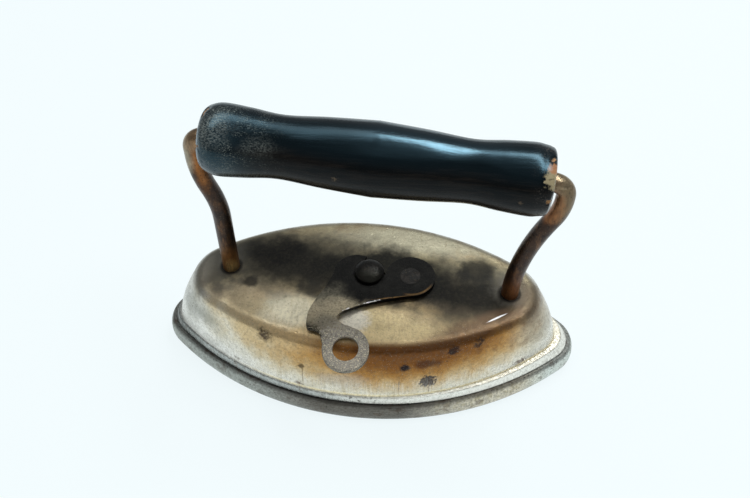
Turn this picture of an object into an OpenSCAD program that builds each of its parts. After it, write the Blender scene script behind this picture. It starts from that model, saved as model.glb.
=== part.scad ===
// Toy flat iron with a lift-off hood: a solid core is heated alone, the lined hood with its handle
// drops over it, and a flat hook latch on the hood turns under the head of a post on the core.
// X runs along the iron, Y across it, Z up. The origin is on the sole, under the middle of the
// hood's top.

/* [Core] */
// Length of the sole over its two points
sole_len = 103; // [90:1:120]
// Width of the sole at the middle
sole_w = 48.8; // [44:0.2:56]
// Height of the flange that shows below the hood
flange_h = 6; // [4:0.25:8]
// Radius of the flange points, seen from above
flange_tip_r = 8; // [6:0.25:10]
// How far the sole and the hood's foot lie to the right of the hood's top
sole_shift = 0.9; // [0:0.1:1.5]
// How far the flange side bulges past its top and bottom edges
flange_bulge_w = 0.9; // [0.3:0.1:1.4]
// Air gap between the slug and the hood wall
slug_air = 3.5; // [2.5:0.25:4.5]
// Rounding of the slug's top edge
slug_edge_r = 1.5; // [0.5:0.25:2.5]

/* [Post] */
// Diameter of the post's neck
post_neck_d = 4.2; // [3:0.1:5]
// Diameter of the post's head
post_head_d = 7; // [6:0.1:7.2]
// Height of the domed head
post_head_h = 2.1; // [1.2:0.1:3]
// Depth of the post's root in the slug
post_root_len = 7; // [4:0.5:9]

/* [Hood] */
// Length of the hood at its foot
hood_foot_len = 99.6; // [97:0.2:101]
// Width of the hood at its foot
hood_foot_w = 46.4; // [43:0.2:47]
// Radius of the hood points at the foot
hood_foot_tip_r = 7; // [6:0.25:9]
// Length of the hood's wall where it rises from the lip
wall_foot_len = 94.4; // [91:0.2:96]
// Radius of the wall's points there
wall_foot_tip_r = 7.5; // [6:0.25:9]
// Length of the flat top between its creases
hood_top_len = 78.6; // [76:0.2:82]
// Width of the flat top between its creases
hood_top_w = 34.4; // [32:0.2:37]
// Radius of the top's points
hood_top_tip_r = 7.3; // [6:0.1:9]
// Height of the crease above the flange
hood_h = 18.3; // [16:0.1:21]
// Rise of the crown above the crease
crown_rise = 1.5; // [0.8:0.1:2.6]
// Radius of the rounded shoulder
shoulder_r = 3.8; // [2:0.1:4.4]
// How far the wall bulges between its foot and the shoulder
wall_bulge_w = 0.6; // [0:0.1:1]
// Thickness of the pressed sheet
hood_wall = 0.9; // [0.6:0.05:1.2]
// Height of the lip at the foot, which leans in at the points
lip_h = 2.4; // [1:0.1:3]
// How far the wall stands back from the lip along the sides
lip_step_w = 0.5; // [0.2:0.1:0.8]
// Depth of the seat that each leg stands in
leg_sink = 0.4; // [0.2:0.05:0.6]
// Gap round each leg in its seat
leg_gap = 0.4; // [0.2:0.05:0.6]

/* [Lining] */
// Thickness of the heat lining at its edge
lining_t = 2.2; // [1.5:0.1:3]
// Distance of the lining's edge inside the hood's crease
lining_set_in = 1.6; // [1.2:0.1:3]
// Thickness of the tin plate that holds the lining
plate_t = 0.6; // [0.4:0.1:1]

/* [Latch] */
// Thickness of the latch plate
latch_t = 1; // [0.8:0.1:1.6]
// Distance of the pivot from the middle of the iron
pivot_x = 10.8; // [9:0.2:12]
// Distance from the pivot to the post
hook_span = 9.8; // [9.6:0.1:10.6]
// Radius of the lobe round the pivot
lobe_r = 5.9; // [5:0.1:6]
// Radius of the hook lobe
hook_r = 5.45; // [5:0.05:6]
// Distance from the post to the middle of the hook lobe
hook_set = 3; // [2.5:0.1:3.5]
// Reach of the plate from the pivot to its far edge
latch_len = 22.8; // [21:0.1:24]
// Distance from the pivot line to the bend of the finger tab
latch_drop = 13.2; // [12:0.1:14.5]
// Downward tilt of the finger tab
tab_tilt = 12; // [4:1:16]
// Distance from the bend to the middle of the finger ring
ring_reach = 7.8; // [7:0.1:9]
// Distance of the ring's middle back from the pivot
ring_back = 13.2; // [12:0.1:14.5]
// Outer diameter of the finger ring
ring_d = 10.7; // [10:0.1:12]
// Diameter of the ring's hole
ring_hole_d = 5.9; // [5:0.1:7]
// Diameter of the pivot rivet's shank
rivet_d = 3; // [2.4:0.1:3.4]
// Diameter of the rivet's flush head
rivet_head_d = 5; // [4.4:0.1:5.4]
// Depth of the rivet's flush head in the plate
rivet_sink = 0.8; // [0.5:0.05:0.8]
// Diameter of the washer under the rivet
rivet_washer_d = 6.6; // [6:0.1:7.4]

/* [Handle rod] */
// Diameter of the bent rod
rod_d = 4.1; // [3.6:0.1:4.6]
// Diameter of the tenons at the rod's feet
tenon_d = 3.2; // [2.6:0.1:3.4]
// Distance of the left leg from the top's left point
left_foot_in = 6.6; // [5:0.1:9]
// Distance of the right leg from the top's right point
right_foot_in = 4.9; // [4.5:0.1:9]
// Height above the sole where the left leg starts to lean out
left_lean_z = 42; // [36:0.5:48]
// Bend radius at the left end of the grip
left_hook_r = 3; // [2.8:0.1:5]
// Bend radius at the right end of the grip
right_hook_r = 3.5; // [2.8:0.1:5]
// Distance of the left bend's start inside the grip's end
left_bend_in = 0.66; // [-0.5:0.02:0.7]
// Distance of the right bend's start outside the grip's end
right_bend_out = 0.2; // [-0.7:0.02:0.5]
// Straight length below the left bend
left_neck = 2.4; // [0.5:0.1:5]
// Straight length below the right bend
right_neck = 0.6; // [0.2:0.1:5]
// Turn of the handle seen from above
handle_yaw = 2; // [0:0.5:4]
// Diameter of the washers under the legs
rod_washer_d = 7; // [6:0.1:8]
// Thickness of all washers
washer_t = 0.7; // [0.4:0.1:1]
// Thickness of all riveted-over ends
peen_h = 0.8; // [0.5:0.1:1.2]

/* [Grip] */
// Length of the wooden grip
grip_len = 72.5; // [68:0.1:73.5]
// Largest diameter of the grip
grip_d = 15.9; // [13:0.1:19]
// Height of the grip's axis above the sole at its middle
grip_z = 64.4; // [58:0.2:72]
// Distance of the grip's middle from the middle of the iron
grip_shift = 2.5; // [1.5:0.1:3.5]
// Slope of the grip, down to the right
grip_tilt = 3.2; // [0:0.1:5]

/* [Fits] */
// Gap between the hood's foot and the flange
seam_gap = 0.1; // [0.05:0.05:0.3]
// Clearance round a fixed shank in its hole
fixed_fit = 0.05; // [0.02:0.01:0.1]
// Clearance round a shank that a piece turns on
running_fit = 0.08; // [0.04:0.01:0.1]
// Clearance between flat pieces that lie on each other
face_gap = 0.12; // [0.05:0.01:0.2]
// Clearance of the post's head in the hood's hole
head_gap = 0.35; // [0.2:0.05:0.6]
// Clearance of the post's neck in the hook's slot
neck_gap = 0.15; // [0.1:0.05:0.3]
// Air gap between the slug and the rod's riveted ends
slug_top_gap = 0.75; // [0.4:0.05:1.2]

/* [Hidden] */
$fn = 96;
// Overrun of every cut past the face that it opens
cut = 1;
// Segments along each side and round each point of the boat-shaped outlines
side_steps = 24;
tip_steps = 12;
// Segments between two points of a smooth outline
smooth_steps = 4;
// Sides of the rod's bends, stations on each of their arcs, and the least step between stations
rod_sides = 24;
arc_steps = 7;
least_step = rod_d / 100;
// How far the bends lie inside the straight rod's surface
bend_skin = 0.02;
// Segments of the flange's bulging side, each way from its middle, and its angle there
flange_steps = 4;
flange_turn = 60;
// Segments of the slug's rounded edge and of the post's dome, and the turn of both
edge_steps = 3;
dome_steps = 6;
quarter_turn = 90;

// A ring is [half length, half width, point radius, height, shift to the right]
sole_ring = [sole_len / 2, sole_w / 2, flange_tip_r, 0, sole_shift];
foot_z = flange_h + seam_gap;
crease_z = flange_h + hood_h;
crown_z = crease_z + crown_rise;

// Shoulder: an arc from the leaning wall to the crease, by angle above level
shoulder_low = 18;
shoulder_high = 81;
shoulder_steps = 5;
shoulder_in = shoulder_r * (cos(shoulder_low) - cos(shoulder_high));
shoulder_up = shoulder_r * (sin(shoulder_high) - sin(shoulder_low));
crease_ring = [hood_top_len / 2, hood_top_w / 2, hood_top_tip_r, crease_z, 0];
wall_top_ring = raise(inset(crease_ring, -shoulder_in), -shoulder_up);

// Foot of the hood, the lip's top edge, and the wall's foot. At the points the lip takes a share
// of the way from the hood's foot in to the wall's.
lip_lean_share = 0.55;
foot_ring = [hood_foot_len / 2, hood_foot_w / 2, hood_foot_tip_r, foot_z, sole_shift];
wall_foot_ring = [wall_foot_len / 2, hood_foot_w / 2 - lip_step_w, wall_foot_tip_r,
    foot_z + lip_h + lip_step_w / 2, 0];
lip_mix_ring = between(foot_ring, wall_foot_ring, lip_lean_share);
lip_ring = [lip_mix_ring[0], foot_ring[1], lip_mix_ring[2], foot_z + lip_h, lip_mix_ring[4]];

// Shares of the flat top at which the crown's rings stand
crown_shares = [0.88, 0.72, 0.54, 0.36, 0.18, 0.05];
// Shares of the wall's height at which its rings stand
wall_shares = [0.25, 0.5, 0.75, 1];

// Heights of the stack under the crown
hood_inside_z = crease_z - hood_wall;
lining_edge_z = crown_height(1 - lining_set_in / crease_ring[0]) - hood_wall - face_gap;
lining_z = lining_edge_z - lining_t;
plate_z = lining_z - face_gap - plate_t;
rod_washer_z = plate_z - face_gap - washer_t;
rod_end_z = rod_washer_z - face_gap - peen_h;
slug_z = rod_end_z - slug_top_gap;

// Latch and post
post_x = pivot_x - hook_span;
latch_z = crown_z + face_gap;
head_z = latch_z + latch_t + face_gap;
slot_w = post_neck_d + 2 * neck_gap;
rivet_washer_z = crown_height(pivot_x / crease_ring[0]) - hood_wall - face_gap - washer_t;
rivet_end_z = rivet_washer_z - face_gap - peen_h;
// Width of a riveted-over end as a share of its shank
peen_share = 1.6;

// Edges of the latch arm, as shares of its reach [latch_len, latch_drop] from the pivot
arm_left_shares = [[-0.798, -0.045], [-0.827, -0.19], [-0.86, -0.364], [-0.904, -0.523],
    [-0.947, -0.69], [-0.98, -0.841], [-0.996, -0.97]];
arm_right_shares = [[-0.695, -0.975], [-0.684, -0.947], [-0.651, -0.879], [-0.583, -0.811],
    [-0.491, -0.727], [-0.395, -0.659], [-0.316, -0.606], [-0.202, -0.545], [-0.092, -0.485],
    [0.044, -0.435]];
// Edges of the finger tab, as shares of [latch_len, ring_reach] from the pivot and the bend
tab_left_shares = [[-1, -0.2], [-0.994, -0.37], [-0.969, -0.45], [-0.921, -0.462],
    [-0.873, -0.51], [-0.845, -0.62], [-0.808, -0.95]];
tab_right_shares = [[-0.445, -0.46], [-0.553, -0.3], [-0.618, -0.25], [-0.673, -0.15],
    [-0.702, -0.06]];
// Turn of the slot past the post, out through the plate's far edge
slot_turn = 70;
// Segments of the finger ring's outer edge
ring_steps = 48;

// Handle plane: s runs along the handle, z up. The rod is straight between its two tangents, and
// each leg reaches its bend by two arcs.
left_foot = crease_ring[0] - left_foot_in;
right_foot = crease_ring[0] - right_foot_in;
leg_seat_z = crown_height(right_foot / crease_ring[0]) - leg_sink;
left_tangent = axis_point(left_bend_in - grip_len / 2);
right_tangent = axis_point(right_bend_out + grip_len / 2);
left_hook = left_tangent - left_hook_r * [sin(grip_tilt), cos(grip_tilt)];
right_hook = right_tangent - right_hook_r * [sin(grip_tilt), cos(grip_tilt)];
left_out = left_hook_r - left_hook[0] - left_foot;
left_rise = left_hook[1] - left_neck - left_lean_z;
left_turn = 2 * atan(left_out / left_rise);
left_curve_r = left_rise / sin(left_turn) / 2;
right_out = right_hook[0] + right_hook_r - right_foot;
right_rise = right_hook[1] - right_neck - leg_seat_z;
right_turn = 2 * atan(right_out / right_rise);
// Share of the right leg's height that its long lower curve takes
right_curve_share = 0.794;
right_curve_r = right_curve_share * right_rise / sin(right_turn);
right_back_r = (1 - right_curve_share) * right_rise / sin(right_turn);
grip_bore_d = rod_d + 2 * running_fit;
bore_flare = rod_d / 5;

// Half of the grip's outline, as [share of the half length from the end, share of the radius]
grip_shares = [[0, 0.6], [0.014, 0.74], [0.05, 0.87], [0.12, 0.962], [0.27, 0.918],
    [0.46, 0.84], [0.72, 0.93], [1, 1]];

function raise(ring, dz) = [ring[0], ring[1], ring[2], ring[3] + dz, ring[4]];
function inset(ring, d) = [ring[0] - d, ring[1] - d, ring[2] - d, ring[3], ring[4]];
function shrink(ring, share, z) =
    [ring[0] * share, ring[1] * share, ring[2] * share, z, ring[4] * share];
function between(low, high, share) = low + (high - low) * share;
// Ring at a height on the straight line from the wall's foot to its top
function wall_at(z) = between(wall_foot_ring, wall_top_ring,
    (z - wall_foot_ring[3]) / (wall_top_ring[3] - wall_foot_ring[3]));
// Height of the hood's outside at a share of the way out to the crease
function crown_height(share) = crease_z + crown_rise * (1 - share * share);
// Point of the handle plane on the grip's axis, by its distance from the grip's middle
function axis_point(d) = [grip_shift, grip_z] + d * [cos(grip_tilt), -sin(grip_tilt)];

// Boat outline: two wide arcs that meet round points of the ring's radius, counterclockwise
function outline(ring) =
    let (a = ring[0] - ring[2], b = ring[1] - ring[2], r = (a * a + b * b) / (2 * b), c = r - b,
        side_r = r + ring[2], half = asin(a / r), z = ring[3], d = ring[4])
    concat(
        [for (i = [0 : side_steps - 1]) let (t = half * (2 * i / side_steps - 1))
            [d + side_r * sin(t), c - side_r * cos(t), z]],
        [for (i = [0 : tip_steps - 1]) let (t = half + (180 - 2 * half) * i / tip_steps)
            [d + a + ring[2] * sin(t), -ring[2] * cos(t), z]],
        [for (i = [0 : side_steps - 1]) let (t = half * (1 - 2 * i / side_steps))
            [d + side_r * sin(t), side_r * cos(t) - c, z]],
        [for (i = [0 : tip_steps - 1]) let (t = half + (180 - 2 * half) * i / tip_steps)
            [d - a - ring[2] * sin(t), ring[2] * cos(t), z]]);

// Smooth open curve through the points of a list
function smooth(p) = concat([for (i = [0 : len(p) - 2], k = [0 : smooth_steps - 1])
    let (t = k / smooth_steps, p0 = p[max(i - 1, 0)], p3 = p[min(i + 2, len(p) - 1)],
        m1 = (p[i + 1] - p0) / 2, m2 = (p3 - p[i]) / 2)
    p[i] * (2 * t * t * t - 3 * t * t + 1) + m1 * (t * t * t - 2 * t * t + t)
        + p[i + 1] * (3 * t * t - 2 * t * t * t) + m2 * (t * t * t - t * t)], [p[len(p) - 1]]);

// The hood's outside, foot to crown, and the same surface one sheet thickness further in
function wall_rings(d) = [for (share = wall_shares)
    inset(between(wall_foot_ring, wall_top_ring, share), d - wall_bulge_w * sin(180 * share))];
function shoulder_rings() = [for (i = [1 : shoulder_steps - 1])
    let (t = between(shoulder_low, shoulder_high, i / shoulder_steps))
    raise(inset(wall_top_ring, shoulder_r * (cos(shoulder_low) - cos(t))),
        shoulder_r * (sin(t) - sin(shoulder_low)))];
function crown_rings(ring, drop) = [for (share = crown_shares)
    shrink(ring, share, crown_height(share) - drop)];
function foot_rings(d) = [inset(foot_ring, d), inset(lip_ring, d), inset(wall_foot_ring, d)];
function hood_outside() = concat(
    foot_rings(0), wall_rings(0), shoulder_rings(), [crease_ring], crown_rings(crease_ring, 0));
function hood_inside() = concat(
    foot_rings(hood_wall),
    [for (ring = wall_rings(hood_wall)) raise(ring, -hood_wall / 2)],
    [raise(inset(crease_ring, hood_wall / 2), -hood_wall)],
    crown_rings(inset(crease_ring, hood_wall / 2), hood_wall));
function reversed(list) = [for (i = [len(list) - 1 : -1 : 0]) list[i]];

// Solid through closed rings of n points each, with its first and last ring capped. Each ring
// runs counterclockwise, seen from where the rings lead.
module skin(points, n) {
    last = len(points) / n - 1;
    polyhedron(
        points = points,
        faces = concat(
            [[for (i = [0 : n - 1]) i]],
            [for (k = [0 : last - 1], i = [0 : n - 1])
                [k * n + i, k * n + n + i, k * n + n + (i + 1) % n]],
            [for (k = [0 : last - 1], i = [0 : n - 1])
                [k * n + i, k * n + n + (i + 1) % n, k * n + (i + 1) % n]],
            [[for (i = [n - 1 : -1 : 0]) last * n + i]]));
}

// Solid through a list of boat-shaped rings
module loft(rings) {
    skin([for (ring = rings, p = outline(ring)) p], 2 * (side_steps + tip_steps));
}

// Upright hole or shank between two heights
module shaft(d, low, high) {
    translate([0, 0, low]) cylinder(d = d, h = high - low);
}

// Children at the foot of each leg
module at_legs() {
    rotate([0, 0, -handle_yaw]) for (s = [-left_foot, right_foot]) translate([s, 0, 0]) children();
}

module washer(d, bore, z) {
    difference() {
        shaft(d, z, z + washer_t);
        shaft(bore, z - cut, z + washer_t + cut);
    }
}

// Core

// Rings of the flange, whose side bulges by an arc between its bottom and top edges
function flange_rings() = [for (i = [-flange_steps : flange_steps])
    let (t = flange_turn * i / flange_steps)
    inset(raise(sole_ring, flange_h / 2 * (1 + sin(t) / sin(flange_turn))),
        flange_bulge_w * (1 - cos(t)) / (1 - cos(flange_turn)))];

module core_slug() {
    slug_in = hood_wall + slug_air;
    slug_foot = inset(wall_at(flange_h), slug_in);
    slug_top = inset(wall_at(slug_z), slug_in);
    color("dimgray") difference() {
        loft(concat(flange_rings(), [slug_foot, raise(slug_top, -slug_edge_r)],
            [for (i = [1 : edge_steps]) let (t = quarter_turn * i / edge_steps)
                raise(inset(slug_top, slug_edge_r * (1 - cos(t))), slug_edge_r * (sin(t) - 1))]));
        translate([post_x, 0, 0])
            shaft(post_neck_d + 2 * fixed_fit, slug_z - post_root_len - fixed_fit, slug_z + cut);
    }
}

module core_post() {
    head_r = post_head_d / 2;
    rim_h = post_head_h / 4;
    color("darkslategray") translate([post_x, 0, 0]) {
        shaft(post_neck_d, slug_z - post_root_len, head_z);
        rotate_extrude() polygon(concat(
            [[0, head_z], [head_r - rim_h / 3, head_z], [head_r, head_z + rim_h / 2],
                [head_r, head_z + rim_h]],
            [for (i = [1 : dome_steps - 1]) let (t = quarter_turn * i / dome_steps)
                [head_r * cos(t), head_z + rim_h + (post_head_h - rim_h) * sin(t)]],
            [[0, head_z + post_head_h]]));
    }
}

// Hood

module hood_shell() {
    color("silver") difference() {
        loft(concat(reversed(hood_inside()), hood_outside()));
        translate([post_x, 0, 0])
            shaft(post_head_d + 2 * head_gap, hood_inside_z - cut, crown_z + cut);
        translate([pivot_x, 0, 0])
            shaft(rivet_d + 2 * fixed_fit, hood_inside_z - cut, crown_z + cut);
        at_legs() {
            shaft(tenon_d + 2 * fixed_fit, hood_inside_z - 2 * cut, crown_z + cut);
            shaft(rod_d + 2 * leg_gap, leg_seat_z - fixed_fit, crown_z + cut);
        }
    }
}

module heat_lining() {
    edge = inset(crease_ring, lining_set_in);
    color("gainsboro") difference() {
        loft(concat([shrink(edge, 1, lining_z), shrink(edge, 1, lining_edge_z)],
            crown_rings(edge, hood_wall + 2 * face_gap)));
        translate([post_x, 0, 0])
            shaft(post_head_d + 2 * head_gap, lining_z - cut, crown_z);
        translate([pivot_x, 0, 0]) shaft(rivet_washer_d + 2 * head_gap, lining_z - cut, crown_z);
        at_legs() shaft(tenon_d + 2 * fixed_fit, lining_z - cut, crown_z);
    }
}

module lining_plate() {
    edge = inset(crease_ring, lining_set_in / 2);
    color("lightsteelblue") translate([0, 0, plate_z]) difference() {
        linear_extrude(plate_t) polygon([for (p = outline(edge)) [p[0], p[1]]]);
        translate([post_x, 0, 0]) shaft(post_head_d + 2 * head_gap, -cut, plate_t + cut);
        at_legs() shaft(tenon_d + 2 * fixed_fit, -cut, plate_t + cut);
    }
}

// Handle rod, drawn in its own plane from foot to foot

// Stations of an arc, each [place, direction of travel]; turn is 1 to the left and -1 to the right
function arc_path(centre, r, from, to, turn) = [for (i = [0 : arc_steps])
    let (a = between(from, to, i / arc_steps))
    [centre + r * [cos(a), sin(a)], a + 90 * turn]];

function left_path() = concat(
    [[[-left_foot, leg_seat_z], 90]],
    arc_path([-left_foot - left_curve_r, left_lean_z], left_curve_r, 0, left_turn, 1),
    arc_path([-left_foot - left_out + left_curve_r, left_lean_z + left_rise], left_curve_r,
        180 + left_turn, 180, -1),
    arc_path(left_hook, left_hook_r, 180, 90 - grip_tilt, -1),
    [[left_tangent + cut * [cos(grip_tilt), -sin(grip_tilt)], -grip_tilt]]);

function right_path() = concat(
    arc_path([right_foot + right_curve_r, leg_seat_z], right_curve_r, 180, 180 - right_turn, -1),
    arc_path([right_foot + right_out - right_back_r, leg_seat_z + right_rise], right_back_r,
        -right_turn, 0, 1),
    arc_path(right_hook, right_hook_r, 0, 90 - grip_tilt, 1),
    [[right_tangent - cut * [cos(grip_tilt), -sin(grip_tilt)], 180 - grip_tilt]]);

// Round bar through the stations of a path, without stations that repeat
module bent_bar(path) {
    stations = [for (i = [0 : len(path) - 1])
        if (i == 0 || norm(path[i][0] - path[max(i - 1, 0)][0]) > least_step) path[i]];
    r = rod_d / 2 - bend_skin;
    skin([for (st = stations, k = [0 : rod_sides - 1])
        let (a = 360 * k / rod_sides, out = r * cos(a))
        [st[0][0] - out * sin(st[1]), -r * sin(a), st[0][1] + out * cos(st[1])]], rod_sides);
}

module handle_rod() {
    color("sienna") {
        rotate([0, 0, -handle_yaw]) {
            bent_bar(left_path());
            bent_bar(right_path());
            translate([left_tangent[0], 0, left_tangent[1]]) rotate([0, 90 + grip_tilt, 0])
                shaft(rod_d, bend_skin, norm(right_tangent - left_tangent) - bend_skin);
        }
        at_legs() {
            shaft(tenon_d, rod_end_z, leg_seat_z + cut);
            shaft(tenon_d * peen_share, rod_end_z, rod_end_z + peen_h);
        }
    }
}

module rod_washers() {
    color("gray") at_legs() washer(rod_washer_d, tenon_d + 2 * fixed_fit, rod_washer_z);
}

module wooden_grip() {
    half = [for (share = grip_shares) [share[1] * grip_d / 2, (share[0] - 1) * grip_len / 2]];
    side = smooth(half);
    color("black") rotate([0, 0, -handle_yaw]) translate([grip_shift, 0, grip_z])
        rotate([0, 90 + grip_tilt, 0]) difference() {
            rotate_extrude() polygon(concat([[0, -grip_len / 2]], side,
                [for (i = [len(side) - 2 : -1 : 0]) [side[i][0], -side[i][1]]],
                [[0, grip_len / 2]]));
            shaft(grip_bore_d, -grip_len / 2 - cut, grip_len / 2 + cut);
            for (end = [0, 1]) mirror([0, 0, end]) translate([0, 0, grip_len / 2 - bore_flare])
                cylinder(d1 = grip_bore_d, d2 = grip_bore_d + 4 * bore_flare, h = 2 * bore_flare);
        }
}

// Latch, drawn round its pivot with its underside at zero

// Edge points of the arm and, past the bend, of the sloping tab, as they show from above
function arm_edge(shares) = [for (share = shares) [share[0] * latch_len, share[1] * latch_drop]];
function tab_edge(shares) = [for (share = shares)
    [share[0] * latch_len, share[1] * ring_reach * cos(tab_tilt) - latch_drop]];

module latch_outline() {
    ring_at = [-ring_back, -ring_reach * cos(tab_tilt) - latch_drop];
    circle(r = lobe_r);
    translate([-hook_span - hook_set, 0]) circle(r = hook_r);
    polygon(concat(
        smooth(concat(arm_edge(arm_left_shares), tab_edge(tab_left_shares))), [ring_at],
        smooth(concat(tab_edge(tab_right_shares), arm_edge(arm_right_shares))),
        [[0, 0], [-hook_span - hook_set, 0]]));
    polygon([for (i = [1 : ring_steps]) let (a = 360 * i / ring_steps)
        ring_at + ring_d / 2 * [cos(a), sin(a) * cos(tab_tilt)]]);
}

// The sheet seen from the side, bent down along its upper edge and long enough for the ring
module bent_sheet() {
    tab_end = [-latch_drop, latch_t] - (ring_reach + ring_d) * [cos(tab_tilt), sin(tab_tilt)];
    rotate([90, 0, 90]) translate([0, 0, -latch_len - cut])
        linear_extrude(latch_len + lobe_r + 2 * cut) polygon([
            [lobe_r + cut, 0], [lobe_r + cut, latch_t], [-latch_drop, latch_t], tab_end,
            tab_end + latch_t * [sin(tab_tilt), -cos(tab_tilt)],
            [latch_t * tan(tab_tilt / 2) - latch_drop, 0]]);
}

// Slot for the post's neck: a round seat at the post, and an arc round the pivot that leaves by
// the plate's far edge
module hook_slot() {
    translate([-hook_span, 0, 0]) shaft(slot_w + neck_gap, -cut, latch_t + cut);
    rotate([0, 0, 180 - slot_turn]) rotate_extrude(angle = slot_turn)
        translate([hook_span - slot_w / 2, -cut]) square([slot_w, latch_t + 2 * cut]);
}

// Hole of the finger ring, square to the sloping tab
module ring_hole() {
    translate([-ring_back, -latch_drop, latch_t]) rotate([tab_tilt, 0, 0])
        translate([0, -ring_reach, 0]) shaft(ring_hole_d, -latch_t - cut, cut);
}

// The rivet's flush head, or with a clearance and an overrun the hole that it lies in
module flush_head(fit, over) {
    spread = (rivet_head_d - rivet_d) / rivet_sink;
    translate([0, 0, latch_t - rivet_sink]) cylinder(d1 = rivet_d + 2 * fit,
        d2 = rivet_head_d + 2 * fit + spread * over, h = rivet_sink + over);
}

module latch_plate() {
    color("darkslateblue") translate([pivot_x, 0, latch_z]) difference() {
        intersection() {
            translate([0, 0, -ring_d]) linear_extrude(ring_d + latch_t + cut) latch_outline();
            bent_sheet();
        }
        hook_slot();
        ring_hole();
        shaft(rivet_d + 2 * running_fit, -cut, latch_t + cut);
        flush_head(running_fit, cut);
    }
}

module latch_rivet() {
    color("dimgray") translate([pivot_x, 0, 0]) {
        shaft(rivet_d, rivet_end_z, latch_z + latch_t);
        translate([0, 0, latch_z]) flush_head(0, 0);
        shaft(rivet_d * peen_share, rivet_end_z, rivet_end_z + peen_h);
    }
}

module rivet_washer() {
    color("gray") translate([pivot_x, 0, 0])
        washer(rivet_washer_d, rivet_d + 2 * fixed_fit, rivet_washer_z);
}

core_slug();
core_post();
hood_shell();
heat_lining();
lining_plate();
handle_rod();
rod_washers();
wooden_grip();
latch_plate();
latch_rivet();
rivet_washer();
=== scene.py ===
"""Looks of a toy flat iron: a heated core under a lined hood with a turned grip and a hook latch.

Lengths are millimetres in the iron's own frame, and are turned to metres where a mesh is made.
"""

import logging
import math
from dataclasses import dataclass, replace
from enum import Enum

import bmesh
import bpy
from mathutils import Matrix, Vector

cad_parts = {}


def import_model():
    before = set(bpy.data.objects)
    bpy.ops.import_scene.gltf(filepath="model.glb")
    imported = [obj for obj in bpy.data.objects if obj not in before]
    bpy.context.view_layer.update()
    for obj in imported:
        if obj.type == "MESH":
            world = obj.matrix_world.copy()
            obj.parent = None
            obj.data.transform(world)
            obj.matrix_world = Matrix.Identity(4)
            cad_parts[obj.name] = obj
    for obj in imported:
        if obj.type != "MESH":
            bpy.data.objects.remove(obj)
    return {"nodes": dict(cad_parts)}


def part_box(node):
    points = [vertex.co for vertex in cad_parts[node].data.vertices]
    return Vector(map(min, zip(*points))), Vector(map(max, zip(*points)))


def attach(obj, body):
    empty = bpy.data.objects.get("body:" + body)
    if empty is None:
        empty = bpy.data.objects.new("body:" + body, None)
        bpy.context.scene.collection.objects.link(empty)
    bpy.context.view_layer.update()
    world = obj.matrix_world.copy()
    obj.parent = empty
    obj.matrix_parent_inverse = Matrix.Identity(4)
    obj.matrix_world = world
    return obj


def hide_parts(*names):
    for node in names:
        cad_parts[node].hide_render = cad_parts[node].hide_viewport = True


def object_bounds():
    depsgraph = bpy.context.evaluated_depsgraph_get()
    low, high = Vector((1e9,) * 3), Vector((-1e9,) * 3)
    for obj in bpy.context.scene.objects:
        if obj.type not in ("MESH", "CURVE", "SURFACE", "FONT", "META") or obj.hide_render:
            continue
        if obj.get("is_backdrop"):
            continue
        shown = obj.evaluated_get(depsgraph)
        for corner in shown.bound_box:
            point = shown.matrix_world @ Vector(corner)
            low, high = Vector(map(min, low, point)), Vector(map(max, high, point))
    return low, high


MM = 0.001  # metres in a millimetre
ROUND_STEPS = 64  # sides of a bore or a small turned piece
DAYLIGHT = (0.95, 0.985, 1.0)  # linear colour of the lamps
LOG = logging.getLogger("iron")

Tree = bpy.types.NodeTree
Node = bpy.types.Node
Feed = Node | bpy.types.NodeSocket
Material = bpy.types.Material
Piece = bpy.types.Object
Point = tuple[float, float, float]
Shares = tuple[tuple[float, float], ...]


def linear(colour: str) -> tuple[float, float, float, float]:
    """Turns an sRGB hex colour to linear light.

    Args:
        colour: six hex digits after a hash sign.

    Returns:
        Red, green, blue and an alpha of one.
    """
    parts = [int(colour[i : i + 2], 16) / 255 for i in (1, 3, 5)]
    light = [p / 12.92 if p <= 0.04045 else ((p + 0.055) / 1.055) ** 2.4 for p in parts]
    return (light[0], light[1], light[2], 1.0)


def source(feed: Feed) -> bpy.types.NodeSocket:
    """The output that feeds: a socket itself, or the first one that a node has in use."""
    if isinstance(feed, Node):
        return next(output for output in feed.outputs if output.enabled)
    return feed


def add(tree: Tree, kind: str, links: dict | None = None, **settings) -> Node:
    """Adds a node with its settings, and sets or links its inputs.

    Args:
        tree: the node tree that gets the node.
        kind: the node's type.
        links: input identifier to a value, or to the node or output that feeds it.
        **settings: the node's own properties.

    Returns:
        The new node.
    """
    node = tree.nodes.new(kind)
    for name, value in settings.items():
        setattr(node, name, value)
    for key, value in (links or {}).items():
        socket = next(s for s in node.inputs if s.identifier == key)
        if isinstance(value, Feed):
            tree.links.new(source(value), socket)
        else:
            socket.default_value = value
    return node


def emptied(holder: Material | bpy.types.World) -> Tree:
    """Turns on the nodes of a material or world, and empties its tree."""
    holder.use_nodes = True
    holder.node_tree.nodes.clear()
    return holder.node_tree


class Rag(Enum):
    """How ragged the edge of a stain is: the noise that shifts it."""

    CLEAN = "clean"
    FINE = "fine"
    COARSE = "coarse"


@dataclass(frozen=True)
class Stain:
    """A patch on a surface: an ellipsoid in the iron's frame whose edge fades.

    Attributes:
        at: its middle.
        size: its half sizes.
        colour: sRGB hex.
        strength: how much of it covers what lies below.
        soft: share of the half size over which it fades out.
        shift: how far noise shifts its edge, as a share of the half size.
        rag: which noise that is.
        turn: its turn about Z, in degrees.
    """

    at: Point
    size: Point
    colour: str
    strength: float = 1.0
    soft: float = 0.6
    shift: float = 0.5
    rag: Rag = Rag.COARSE
    turn: float = 0.0


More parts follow.
